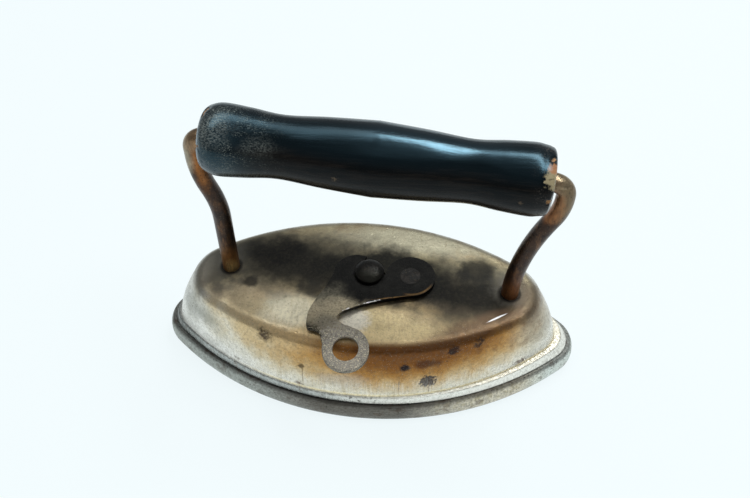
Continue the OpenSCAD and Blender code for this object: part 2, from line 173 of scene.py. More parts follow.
class Paint:
    """One material's tree, with the place on the object in millimetres.

    Args:
        name: the material's name.
        metallic: share of metal.
        ior: index of refraction, or none to keep the shader's own.
    """

    def __init__(self, name: str, metallic: float = 0.0, ior: float | None = None) -> None:
        self.material = bpy.data.materials.new(name)
        self.tree = emptied(self.material)
        self.shader = self.add("ShaderNodeBsdfPrincipled", {"Metallic": metallic})
        if ior is not None:
            self.shader.inputs["IOR"].default_value = ior
        out = self.add("ShaderNodeOutputMaterial")
        self.tree.links.new(source(self.shader), out.inputs["Surface"])
        spot = self.add("ShaderNodeTexCoord").outputs["Object"]
        self.place = self.add("ShaderNodeVectorMath", {"Vector": spot, "Scale": 1000.0},
                              operation="SCALE")
        axes = self.add("ShaderNodeSeparateXYZ", {"Vector": self.place})
        self.x, self.y, self.z = axes.outputs["X"], axes.outputs["Y"], axes.outputs["Z"]
        self._rags: dict[Rag, Feed] = {}

    def add(self, kind: str, links: dict | None = None, **settings) -> Node:
        """Adds a node to this material's tree."""
        return add(self.tree, kind, links, **settings)

    def mottle(self, size: float, low: float, high: float, seed: float, detail: float = 3.0,
               stretch: Point = (1.0, 1.0, 1.0)) -> Feed:
        """Cloudy patches from noise.

        Args:
            size: typical patch size in mm.
            low: noise level where the patches start.
            high: noise level where they are full.
            seed: moves the pattern.
            detail: how many finer octaves it has.
            stretch: how much longer the patches are along each axis.

        Returns:
            A mask from 0 to 1.
        """
        moved = self.add("ShaderNodeVectorMath", {
            "Vector": self.place, "Vector_001": [1 / (size * s) for s in stretch],
            "Vector_002": (seed * 7.3, seed * 3.1, seed * 5.7)}, operation="MULTIPLY_ADD")
        noise = self.add("ShaderNodeTexNoise", {
            "Vector": moved, "Scale": 1.0, "Detail": detail, "Roughness": 0.6})
        return self.add("ShaderNodeMapRange", {
            "Value": noise, "From Min": low, "From Max": high},
            interpolation_type="SMOOTHSTEP")

    def specks(self, size: float, share: float, seed: float) -> Feed:
        """Separate small specks of about one size.

        Args:
            size: distance between specks in mm.
            share: radius of a speck as a share of that distance.
            seed: moves the pattern.

        Returns:
            A mask from 0 to 1.
        """
        moved = self.add("ShaderNodeVectorMath", {
            "Vector": self.place, "Vector_001": [1 / size] * 3,
            "Vector_002": (seed * 3.7, seed * 9.1, seed * 6.3)}, operation="MULTIPLY_ADD")
        cells = self.add("ShaderNodeTexVoronoi", {"Vector": moved, "Scale": 1.0})
        return self.add("ShaderNodeMapRange", {
            "Value": cells, "From Min": share, "From Max": share * 0.6},
            interpolation_type="SMOOTHSTEP")

    def along(self, axis: Feed, start: float, end: float) -> Feed:
        """A soft step along an axis, 0 at the start and 1 at the end, in mm."""
        return self.add("ShaderNodeMapRange", {
            "Value": axis, "From Min": start, "From Max": end},
            interpolation_type="SMOOTHSTEP")

    def overlap(self, *masks: Feed | float) -> Feed:
        """Where all of the masks are: their product."""
        product = masks[0]
        for mask in masks[1:]:
            product = self.add("ShaderNodeMath", {"Value": product, "Value_001": mask},
                               operation="MULTIPLY")
        return product

    def rag(self, kind: Rag) -> Feed:
        """The noise that shifts edges, about zero, made once for each kind."""
        if kind not in self._rags:
            size = {Rag.FINE: 0.8, Rag.COARSE: 4.5}[kind]
            cloud = self.mottle(size, 0.2, 0.8, seed=2.0 + size, detail=5.0)
            self._rags[kind] = self.add("ShaderNodeMath", {"Value": cloud, "Value_001": 0.5},
                                        operation="SUBTRACT")
        return self._rags[kind]

    def blot(self, stain: Stain) -> Feed:
        """The mask of one stain: how far inside its ragged ellipsoid a point is."""
        away = self.add("ShaderNodeVectorMath", {"Vector": self.place, "Vector_001": stain.at},
                        operation="SUBTRACT")
        if stain.turn:
            away = self.add("ShaderNodeVectorRotate", {
                "Vector": away, "Angle": -math.radians(stain.turn)},
                rotation_type="Z_AXIS")
        shares = self.add("ShaderNodeVectorMath", {"Vector": away, "Vector_001": stain.size},
                          operation="DIVIDE")
        reach = self.add("ShaderNodeVectorMath", {"Vector": shares}, operation="LENGTH")
        if stain.rag is not Rag.CLEAN:
            reach = self.add("ShaderNodeMath", {
                "Value": self.rag(stain.rag), "Value_001": 2 * stain.shift, "Value_002": reach},
                operation="MULTIPLY_ADD")
        return self.add("ShaderNodeMapRange", {
            "Value": reach, "From Min": 1 + stain.soft / 2, "From Max": 1 - stain.soft / 2,
            "To Max": stain.strength},
            interpolation_type="SMOOTHSTEP")

    def stacked(self, ground: str | float | Feed, layers: list[tuple]) -> Feed:
        """Lays colours, or plain values, over each other.

        Args:
            ground: the lowest colour or value.
            layers: masks that are multiplied, then a colour or value, for each layer from below.

        Returns:
            The colour on top.
        """
        def level(value: str | float | Feed) -> Feed | tuple[float, float, float, float]:
            """A layer's colour or value as an input of a mix."""
            if isinstance(value, str):
                return linear(value)
            return value if isinstance(value, Feed) else (value, value, value, 1.0)

        top = level(ground)
        for *masks, value in layers:
            top = self.add("ShaderNodeMix", {
                "Factor_Float": self.overlap(*masks), "A_Color": top, "B_Color": level(value)},
                data_type="RGBA")
        return top

    def stained(self, ground: str | Feed, stains: tuple[Stain, ...], *masks: Feed) -> Feed:
        """Lays stains over a colour, each only where all of the masks are."""
        return self.stacked(ground, [(self.blot(s), *masks, s.colour) for s in stains])

    def relief(self, *heights: tuple) -> Feed:
        """Bumps on top of each other.

        Args:
            *heights: masks that are multiplied, then a height in mm, below zero for a dent.

        Returns:
            The bent normal.
        """
        normal: Feed | None = None
        for *masks, height in heights:
            links = {"Height": self.overlap(*masks), "Distance": abs(height) * MM, "Strength": 1.0}
            if normal is not None:
                links["Normal"] = normal
            normal = self.add("ShaderNodeBump", links, invert=height < 0)
        return normal

    def dress(self, colour: Feed, roughness: Feed, normal: Feed,
              more: dict[str, Feed] | None = None) -> Material:
        """Feeds the shader and gives the finished material.

        Args:
            colour: its base colour.
            roughness: its roughness.
            normal: its bent normal.
            more: feeds of other inputs by name.

        Returns:
            The material.
        """
        feeds = {"Base Color": colour, "Roughness": roughness, "Normal": normal} | (more or {})
        for name, feed in feeds.items():
            self.tree.links.new(source(feed), self.shader.inputs[name])
        return self.material


@dataclass(frozen=True)
class NickelPlate:
    """Old nickel plate on pressed sheet: silvery on the wall, straw to brown where the heat of
    the core ran up it, and sooty on the flat top. The heat tints are oxide films, so they lie as
    soft bands under a grey bloom, and the plate is worn to fine scratches.
    """

    silver: str = "#EDEBE3"
    straw: str = "#C3B48C"
    crease_z: float = 24.3
    ledge_z: float = 8.6
    heat: tuple[Stain, ...] = (
        Stain((9, -20, 24.5), (44, 42, 14.5), "#D8C38C", 0.9, 0.9, 0.12),
        Stain((10, -20, 24.5), (36, 42, 11.6), "#B5823C", 0.92, 0.8, 0.14),
        Stain((-23, -16, 24.5), (14, 20, 5.0), "#DCC498", 0.6, 0.9, 0.3),
        Stain((13, -20, 24.0), (20, 42, 7.2), "#7E4D1A", 0.95, 0.8, 0.16),
        Stain((13, -20, 24.3), (13, 30, 4.2), "#5A3822", 0.5, 1.0, 0.3, Rag.FINE),
        Stain((-42, -6, 18.4), (8, 9, 3.2), "#84867E", 0.65, 1.2, 0.3),
        Stain((43, -4, 20), (8, 9, 6), "#9A968A", 0.6, 0.9, 0.3),
        Stain((-4, -20, 13.5), (5, 20, 2.6), "#B9B2A6", 0.5, 1.0, 0.4),
    )
    tan: tuple[Stain, ...] = (
        Stain((-26, -7, 25), (14, 4, 5), "#B3A284", 0.7, 1.0, 0.3),
        # A cream band along the front of the top: heat tint, with a painted highlight over it.
        Stain((5, -14.2, 25), (15, 4.8, 5), "#E0CB9C", 0.8, 1.0, 0.2),
        Stain((5, -11.8, 25), (15, 3.0, 5), "#B5A37C", 0.75, 1.2, 0.2),
        Stain((15, 14, 25), (13, 4.2, 5), "#8E8672", 0.4, 1.2, 0.2),
        # A lighter band along the front shoulder: painted reflection of a bright room.
        Stain((-15, -20, 23.3), (13, 30, 2.3), "#CDA86C", 0.4, 1.2, 0.25),
        Stain((-24, -12, 25), (9, 3.5, 5), "#9A8E72", 0.7, 1.0, 0.2),
        Stain((11, 13, 25), (20, 5.5, 5), "#CFC9AE", 0.8, 1.0, 0.25),
        Stain((-16, -11, 25), (7, 5, 5), "#EBE3C8", 0.8, 1.0, 0.3),
        Stain((-1.5, -12.5, 25), (3.6, 3.2, 5), "#D6D1C4", 0.8, 0.8, 0.2, Rag.FINE),
    )
    soot: tuple[Stain, ...] = (
        Stain((-22, 4, 25), (22, 12, 6), "#57534A", 0.8, 1.3, 0.25),
        Stain((2, 2, 25), (26, 9, 6), "#5E5A4C", 0.5, 1.1, 0.25),
        Stain((25.5, -4, 25), (16, 9, 6), "#4A463E", 0.85, 1.1, 0.25),
        Stain((-24, 14.5, 24.5), (18, 3.5, 4), "#5D5B50", 0.25, 1.1, 0.3),
        Stain((-7, 7.5, 25), (10, 4.5, 6), "#34322C", 0.55, 1.3, 0.15),
        Stain((18, 4, 25), (5.5, 4, 6), "#2A2924", 0.6, 1.3, 0.15),
        Stain((32, 3, 25), (4, 4, 6), "#4A4842", 0.65, 1.2, 0.2),
        Stain((-32, 4, 25), (6, 6, 6), "#33312C", 0.7, 1.2, 0.3),
        Stain((-28, 9, 25), (9, 5.5, 6), "#2B2A26", 0.75, 1.3, 0.3),
        Stain((-20, 5, 25), (13, 6.5, 6), "#0C0B09", 0.9, 1.5, 0.15),
        Stain((-9, 0, 25), (15, 6.0, 6), "#0E0D0B", 0.92, 1.3, 0.18),
        Stain((-12, -4.5, 25), (3.8, 2.4, 6), "#24221E", 0.85, 1.0, 0.3),
        Stain((6, 1, 25), (15, 8.3, 6), "#0D0D0B", 0.97, 0.8, 0.22),
        Stain((26, -3.0, 25), (13, 5.7, 6), "#0E0D0A", 0.96, 1.2, 0.15),
        Stain((26.5, 4.3, 25), (4.2, 4.4, 6), "#1E1D1A", 0.9, 0.9, 0.25),
        Stain((-36, 1, 25), (6, 9, 6), "#4A4842", 0.85, 0.9, 0.3),
        Stain((36, 0, 25), (5, 5, 6), "#5A564E", 0.8, 0.9, 0.4),
        Stain((-22, 6, 25), (6, 4, 6), "#0B0A09", 0.8, 1.1, 0.4),
        Stain((-27, -3.5, 25), (1.7, 1.6, 4), "#24211E", 0.85, 0.8, 0.3),
    )
    spots_and_painted_light: tuple[Stain, ...] = (
        Stain((-22, -19, 22), (1.9, 4, 1.6), "#3A2B1E", 0.95, 1.0, 0.4, Rag.FINE),
        Stain((11, -19, 18.5), (1.15, 4, 1.05), "#1E1315", 1.0, 0.8, 0.25, Rag.FINE),
        Stain((16.5, -20, 13.5), (1.8, 4, 2.0), "#3E3128", 1.0, 0.6, 0.6, Rag.FINE),
        Stain((22, -18, 21.5), (1.4, 4, 1.2), "#2A1C19", 0.95, 0.8, 0.4, Rag.FINE),
        Stain((28, -17, 22), (1.4, 4, 1.4), "#261C1A", 0.95, 0.8, 0.4, Rag.FINE),
        Stain((16.5, -20, 19), (3.0, 4, 1.1), "#43210F", 0.75, 1.0, 0.4),
        Stain((-13, -20, 16.3), (0.7, 4, 0.7), "#5B4A2E", 0.9, 0.8, 0.4, Rag.FINE),
        Stain((-30, -19, 10.2), (0.9, 4, 0.7), "#5A4526", 0.9, 0.8, 0.5, Rag.FINE),
        Stain((40.5, -2, 23.2), (4.5, 8, 2.4), "#6A5C4A", 0.65, 1.0, 0.3),
        Stain((27.5, -10.9, 24.1), (12, 2.2, 1.8), "#65503E", 0.75, 1.0, 0.3, turn=26.0),
        Stain((-14, -22, 9.8), (0.9, 4, 0.8), "#553A1C", 0.9, 0.8, 0.5, Rag.FINE),
        Stain((38.5, -12, 10.3), (1.5, 6, 1.0), "#5A3C22", 0.9, 0.6, 0.8, Rag.FINE),
        Stain((-12.8, -20, 13.6), (0.14, 4, 3.6), "#7A6540", 0.7, 0.9, 0.3, Rag.FINE),
        Stain((9.9, -20, 12.6), (0.14, 4, 3.2), "#6A5030", 0.7, 0.9, 0.3, Rag.FINE),
        Stain((16.9, -20, 10.9), (0.14, 4, 2.2), "#6A5030", 0.7, 0.9, 0.3, Rag.FINE),
        # Dark discs round the two legs' feet: painted shade in the gaps of their seats.
        Stain((-32.7, 1.1, 24.6), (2.75, 2.75, 3), "#0E0C0A", 0.9, 0.3, rag=Rag.CLEAN),
        Stain((34.4, -1.2, 24.6), (2.75, 2.75, 3), "#0E0C0A", 0.9, 0.3, rag=Rag.CLEAN),
        # A white streak across the crease on the right: a bright scratch, painted white so that it
        # also stands for a highlight.
        Stain((31.5, -8.5, 24.7), (2.5, 0.2, 2), "#FFFFFF", 0.95, 0.6, 0.1, Rag.FINE, turn=33.0),
    )

    def material(self) -> Material:
        """Builds the material."""
        paint = Paint("old nickel plate", metallic=0.82)
        along, overlap, x, y, z = paint.along, paint.overlap, paint.x, paint.y, paint.z
        top, ledge_z = self.crease_z, self.ledge_z
        crown = along(z, top - 0.9, top + 0.2)
        wall_low = along(z, top - 1.0, top - 7.0)
        bare = along(z, top - 8.0, top - 13.0)
        front = along(y, 6.0, -6.0)
        cloud = paint.mottle(5.0, 0.35, 0.7, seed=1.0)
        dust = paint.mottle(0.7, 0.42, 0.72, seed=2.0, detail=4.0)
        brushed = paint.mottle(0.35, 0.35, 0.75, seed=3.0, stretch=(1, 1, 22))
        brushed_dark = paint.mottle(0.3, 0.6, 0.8, seed=8.0, stretch=(1, 1, 26))
        cross = paint.mottle(0.3, 0.5, 0.8, seed=4.0, stretch=(9, 2.5, 2))
        sooty = paint.stacked(0.0, [(paint.blot(stain), crown, 1.0) for stain in self.soot])
        clean = paint.add("ShaderNodeMath", {"Value": 1.0, "Value_001": sooty},
                          operation="SUBTRACT")
        pits = paint.specks(1.9, 0.14, seed=5.0)
        grit = paint.mottle(0.28, 0.62, 0.7, seed=6.0, detail=2.0)
        flecks = paint.mottle(0.24, 0.62, 0.72, seed=17.0)
        wiped = paint.mottle(0.8, 0.48, 0.75, seed=19.0, stretch=(1, 10, 1), detail=4.0)
        rusty = paint.mottle(1.8, 0.5, 0.68, seed=18.0, stretch=(1.8, 1, 0.8), detail=5.0)
        warm = overlap(front, along(z, 14.0, 19.0), along(z, top, top - 1.0), along(x, -24.0, 0.0))
        lip = along(z, ledge_z + 0.15, ledge_z - 0.25)
        seam = along(z, 6.55, 6.15)
        # A cream band just above the ledge, right of the left end: partly the plating's golden
        # tone, partly a painted highlight where the ledge catches the light.
        golden_glint = overlap(along(z, ledge_z - 0.1, ledge_z + 0.25),
                         along(z, ledge_z + 1.2, ledge_z + 0.5), along(x, -34.0, -12.0))
        ledge = overlap(along(z, ledge_z - 0.5, ledge_z - 0.15),
                        along(z, ledge_z + 0.4, ledge_z + 0.2))
        right_tip = along(x, 18.0, 34.0)
        flakes = paint.mottle(0.45, 0.46, 0.64, seed=9.0)
        far_edge = overlap(along(y, 4.0, 9.0), along(z, top + 0.1, top - 0.3),
                           along(z, top - 3.0, top - 1.5))
        left_end = overlap(along(x, -36.0, -40.0), along(z, top - 4.0, top - 1.0))
        crease = overlap(along(z, top - 1.3, top - 0.2), along(z, top + 0.35, top + 0.05))
        colour = paint.stacked(self.silver, [
            (cloud, 0.5, "#B4B3A8"), (crown, self.straw), (crown, cloud, 0.6, "#A79F84"),
        ])
        heated = overlap(front, paint.stacked(1.0, [(crown, 0.25)]))
        colour = paint.stained(colour, self.heat, heated)
        back_heat = overlap(along(y, 4.0, 12.0), along(z, 14.0, 23.5), along(x, -40.0, -5.0), cloud)
        colour = paint.stacked(colour, [(back_heat, 0.8, "#8A6638")])
        colour = paint.stained(colour, self.tan + self.soot, crown)
        colour = paint.stained(colour, self.spots_and_painted_light)
        colour = paint.stacked(colour, [
            (far_edge, 0.6, "#7F7868"), (left_end, 0.7, "#75726A"), (golden_glint, "#FFEFC4"),
            # The lip is painted whiter from the middle to the right: a painted reflection of the
            # floor.
            (lip, "#A3A9A6"), (lip, along(x, -16.0, 10.0), "#F2F0E6"),
            (lip, along(x, -37.0, -44.0), "#5C6360"),
            (lip, paint.mottle(1.1, 0.54, 0.66, seed=7.0), along(x, 12.0, 0.0), "#6E6A62"),
            (ledge, right_tip, 0.5, "#E6DCC2"), (ledge, right_tip, flakes, 0.45, "#8C8570"),
            (seam, 0.9, "#221F1B"), (crease, front, 0.14, "#4A3320"), (dust, clean, 0.3, "#5A554C"),
            (dust, sooty, 0.1, "#57523F"), (wiped, crown, clean, 0.35, "#8F7C5E"),
            (brushed, bare, 0.3, "#FFFDF6"), (brushed_dark, wall_low, 0.3, "#7F7868"),
            (pits, clean, cloud, 0.3, "#3B342B"), (grit, clean, 0.5, "#413A31"),
            (rusty, warm, 0.4, "#5A3312"), (flecks, clean, 0.3, "#FFFBEA"),
        ])
        roughness = paint.stacked(0.27, [
            (cloud, 0.6, 0.36), (crown, 0.7, 0.46), (sooty, 0.55), (ledge, 0.62), (dust, 0.5, 0.6),
            (brushed, wall_low, 0.5, 0.2),
        ])
        normal = paint.relief((cloud, 0.05), (brushed, 0.006), (cross, 0.008), (dust, -0.012),
                              (pits, -0.04), (ledge, flakes, 0.025))
        return paint.dress(colour, roughness, normal)


@dataclass(frozen=True)
class CastIron:
    """Ground and worn cast iron: grey satin on the flange's side, with brown patches where damp has
    been at it, dark pits all over, and rough as cast on the slug."""

    iron: str = "#8A867E"

    def material(self) -> Material:
        """Builds the material."""
        paint = Paint("cast iron", metallic=0.8)
        along, x, z = paint.along, paint.x, paint.z
        cloud = paint.mottle(6.0, 0.35, 0.65, seed=11.0)
        sand = paint.mottle(0.5, 0.35, 0.7, seed=12.0, detail=5.0)
        rust = paint.mottle(3.0, 0.52, 0.7, seed=13.0)
        pits = paint.specks(1.3, 0.16, seed=14.0)
        draw = paint.mottle(0.3, 0.4, 0.75, seed=15.0, stretch=(14, 6, 0.6))
        slug = along(z, 5.85, 6.15)
        # Bluish band along the flange's bottom edge: painted reflection of the floor.
        edge = along(z, 2.0, 0.3)
        # Dark band on the flange's top, just under the hood's foot: painted shade.
        top = along(z, 4.9, 5.8)
        # Bluish grey towards the left point, darker in the middle and pale towards the right point:
        # partly the worn iron's tone, partly painted sheen.
        left = along(x, -10.0, -30.0)
        middle = paint.overlap(along(x, -16.0, -4.0), along(x, 20.0, 8.0))
        right = along(x, 10.0, 30.0)
        far_right = along(x, 38.0, 47.0)
        colour = paint.stacked(self.iron, [
            (cloud, 0.5, "#6B675F"), (left, 0.8, "#BDC3BC"), (middle, 0.6, "#57534A"),
            (right, 0.9, "#EFE6D0"), (right, paint.mottle(1.4, 0.45, 0.66, seed=16.0), "#C9BEA0"),
            (far_right, 0.85, "#E6F0EB"), (rust, 0.45, "#5A4433"), (edge, 0.7, "#A3ACAF"),
            (top, 0.6, "#2E2C28"), (draw, 0.35, "#A9A69D"), (sand, 0.45, "#45413B"),
            (pits, 0.7, "#2A2724"), (slug, 0.9, "#35322F"), (slug, rust, 0.6, "#4E3426"),
        ])
        roughness = paint.stacked(0.4, [
            (cloud, 0.5, 0.5), (sand, 0.6, 0.6), (rust, 0.7, 0.68), (slug, 1.0, 0.75)])
        normal = paint.relief((cloud, 0.08), (sand, 0.03), (pits, -0.06), (draw, 0.01))
        return paint.dress(colour, roughness, normal)


@dataclass(frozen=True)
class RodSteel:
    """Bent steel rod with a brown skin of heat and handling: coppery where hands rub it, rusty
    orange at its feet and inner bends, blue-black where nothing touches it. A highlight is painted
    down the left leg, and the outer sides of the bends are painted lighter as a reflection."""

    brown: str = "#3E2C21"
    patches: tuple[Stain, ...] = (
        Stain((-32.5, -1, 25), (4, 4, 7), "#A06C36", 0.8, 1.2, 0.2),
        Stain((-31.8, -1.6, 25.4), (1.6, 2.2, 3.4), "#D8B478", 0.8, 1.0, 0.2, Rag.FINE),
        # A thin white line down the left side of the left leg: a painted highlight.
        Stain((-34.9, 0, 29.2), (0.35, 2.4, 2.6), "#FFFFFF", 0.9, 0.8, 0.1, Rag.FINE),
        Stain((34.5, -1, 25), (4, 4, 7), "#8F5930", 0.8, 1.2, 0.2),
        Stain((-34.5, -3, 61), (2.2, 4, 8), "#A8682C", 0.7, 0.9, 0.3),
        # Grey-tan on the outer side and top of the left bend: partly wear, partly a painted
        # reflection of the room.
        Stain((-38.5, 0, 63), (2.2, 5, 7), "#AFA48C", 0.7, 1.0, 0.3),
        Stain((-36, -1, 67), (4, 4, 3), "#A88C6C", 0.6, 0.9, 0.4, Rag.FINE),
        # Grey-tan on the outer side and top of the right bend: partly wear, partly a painted
        # reflection of the room.
        Stain((42, -1, 60), (3.4, 5, 7), "#8C7A5C", 0.6, 1.0, 0.4),
        Stain((40.5, -1.5, 64), (3.4, 3, 2.2), "#AC9A7C", 0.6, 0.9, 0.6, Rag.FINE),
        Stain((39.5, -2, 57), (2.4, 4, 5), "#9C5F30", 0.55, 1.0, 0.4),
    )

    def material(self) -> Material:
        """Builds the material."""
        paint = Paint("browned steel rod", metallic=0.75)
        cloud = paint.mottle(3.0, 0.38, 0.66, seed=21.0)
        grain = paint.mottle(0.5, 0.4, 0.7, seed=22.0, stretch=(1, 1, 5), detail=4.0)
        pits = paint.specks(0.9, 0.16, seed=23.0)
        worn = paint.mottle(1.6, 0.5, 0.68, seed=24.0, stretch=(1, 1, 3))
        flecks = paint.mottle(0.3, 0.6, 0.7, seed=25.0)
        colour = paint.stacked(self.brown, [(cloud, 0.7, "#1E1A1A"), (worn, 0.5, "#7A5638")])
        colour = paint.stained(colour, self.patches)
        colour = paint.stacked(colour, [
            (grain, 0.4, "#2E2723"), (pits, 0.6, "#1F1916"), (flecks, 0.2, "#B5A07A")])
        roughness = paint.stacked(0.3, [(cloud, 0.6, 0.4), (worn, 0.7, 0.26), (pits, 0.8, 0.7)])
        normal = paint.relief((grain, 0.015), (pits, -0.03), (cloud, 0.03))
        return paint.dress(colour, roughness, normal)


@dataclass(frozen=True)
class EbonisedWood:
    """Turned hardwood under black lacquer: a deep soft gloss with a blue cast, grain lengthwise
    along its underside, which is painted brownish as a reflection of the hood below, whitish scuffs
    near its ends, and bare tan wood in the chips. Thin pale lines round the rims of its ends are
    painted highlights and reflections."""

    black: str = "#05080A"
    axis: Point = (0.9978, -0.0348, -0.0558)
    left_end: float = -37.35
    right_end: float = 35.15
    upward: Point = (0.0558, 0.0, 0.9984)
    middle_rise: float = 64.44
    middle: Point = (2.5, -0.087, 64.4)
    worn: tuple[Stain, ...] = (
        Stain((-31.5, -3.2, 72.3), (4.5, 4.2, 3.2), "#FFFFFF", 0.8, 1.2, 0.4),
        Stain((-20.5, -4.6, 70.0), (3.4, 2.4, 1.6), "#FFFFFF", 0.5, 1.2, 0.4),
    )
    nicks: tuple[Stain, ...] = (
        Stain((-5.0, -6.8, 65.0), (0.4, 1.0, 0.6), "#7A6850", 0.6, 1.2, 1.3, Rag.FINE),
        Stain((32.5, -8.4, 63.1), (0.4, 1.0, 0.3), "#6E5C48", 0.5, 1.2, 1.3, Rag.FINE),
    )
    bare: tuple[Stain, Stain] = (
        Stain((38.5, -5.6, 67.0), (2.6, 1.9, 2.0), "#9A8D6E", 0.95, 0.4, 0.35, Rag.FINE),
        Stain((38.5, -4.1, 68.6), (1.9, 1.1, 0.9), "#A0714E", 0.9, 0.4, 0.35, Rag.FINE),
    )

    def material(self) -> Material:
        """Builds the material."""
        paint = Paint("ebonised wood", ior=1.5)
        along, overlap, x = paint.along, paint.overlap, paint.x
        rise = paint.add("ShaderNodeVectorMath", {
            "Vector": paint.place, "Vector_001": self.upward}, operation="DOT_PRODUCT")
        level = self.middle_rise
        under = along(rise, level + 5.6, level + 2.8)
        # The underside, right of the left end: painted brownish as a reflection of the hood below,
        # with grain streaks, and with its gloss tinted less blue.
        reflecting_underside = overlap(under, along(x, -32.0, -16.0))
        tint = paint.stacked("#A6DDF5", [(reflecting_underside, "#B4C4CC")])
        polish = overlap(along(rise, level + 5.6, level + 6.8), along(x, -4.0, 6.0),
                         along(x, 34.0, 24.0))
        dull = overlap(along(rise, level + 6.9, level + 5.2), along(x, -32.0, -16.0))
        left_polish = along(x, -22.0, -28.0)
        gloss = paint.stacked(0.5, [(left_polish, 0.75), (dull, 0.2), (polish, 1.0)])
        streak = paint.mottle(0.55, 0.42, 0.72, seed=31.0, stretch=(16, 1, 1), detail=4.0)
        broad = paint.mottle(2.2, 0.4, 0.7, seed=32.0, stretch=(7, 1, 1))
        scuff = paint.mottle(0.2, 0.52, 0.64, seed=33.0, detail=5.0, stretch=(1.8, 1, 1))
        rub = paint.mottle(4.0, 0.42, 0.6, seed=34.0)
        grey = paint.mottle(0.26, 0.4, 0.64, seed=36.0, detail=5.0, stretch=(1.6, 1, 1))
        left = along(x, -12.0, -31.0)
        worn = paint.stacked(0.0, [(paint.blot(patch), 1.0) for patch in self.worn])
        far_left = along(x, -29.5, -33.0)
        right = along(x, 33.0, 38.2)
        reach = paint.add("ShaderNodeVectorMath", {
            "Vector": paint.place, "Vector_001": self.axis}, operation="DOT_PRODUCT")
        out = self.from_axis(paint)
        # A thin pale line round the rim of the right end: a painted highlight.
        rim = overlap(along(reach, self.right_end - 0.55, self.right_end - 0.25),
                      along(out, 5.7, 6.1), along(rise, 67.5, 65.5))
        grain = paint.mottle(0.6, 0.2, 0.5, seed=35.0, stretch=(4, 1, 1))
        # A bluish-white line round the lower rim of the left end: painted reflection of the floor.
        left_rim_reflection = overlap(along(reach, self.left_end + 0.9, self.left_end + 0.3),
                           along(out, 4.6, 5.1), under)
        chip = self.chips(paint)
        colour = paint.stacked(self.black, [
            (reflecting_underside, 0.8, "#0C0B0A"), (reflecting_underside, broad, 0.6, "#181310"), (streak, reflecting_underside, 0.6, "#2A2119"),
            (streak, 0.3, "#0C1114"), (scuff, left, rub, 0.55, "#8C8F84"),
            (scuff, far_left, 0.25, "#7F8A8C"), (grey, worn, 0.6, "#868A84"),
            (scuff, right, rub, 0.5, "#6B6259"), (rim, 0.75, "#C9CCCB"),
            (paint.blot(self.bare[0]), grain, self.bare[0].colour),
            (paint.blot(self.bare[1]), self.bare[1].colour),
            *((paint.blot(nick), nick.colour) for nick in self.nicks),
            (left_rim_reflection, 0.7, "#A9BAC6"), (chip, "#A37C55"), (chip, streak, 0.5, "#6A4C32"),
        ])
        roughness = paint.stacked(0.23, [
            (broad, 0.5, 0.32), (streak, 0.4, 0.36), (scuff, left, 0.6), (polish, 0.7, 0.19),
            (chip, 0.8)])
        normal = paint.relief((broad, 0.02), (streak, 0.004), (chip, -0.1))
        return paint.dress(colour, roughness, normal, {
            "Specular Tint": tint, "Specular IOR Level": gloss})

    def from_axis(self, paint: Paint) -> Feed:
        """How far a point lies from the grip's own axis, in mm."""
        away = paint.add("ShaderNodeVectorMath", {
            "Vector": paint.place, "Vector_001": self.middle}, operation="SUBTRACT")
        turned = paint.add("ShaderNodeVectorMath", {
            "Vector": away, "Vector_001": self.axis}, operation="CROSS_PRODUCT")
        return paint.add("ShaderNodeVectorMath", {"Vector": turned}, operation="LENGTH")

    def chips(self, paint: Paint) -> Feed:
        """The chips' mask, which the turned shape leaves in an attribute of the mesh."""
        mark = paint.add("ShaderNodeAttribute", attribute_name="chip", attribute_type="GEOMETRY")
        return paint.add("ShaderNodeMapRange", {
            "Value": mark.outputs["Fac"], "From Min": 0.15, "From Max": 0.4},
            interpolation_type="SMOOTHSTEP")


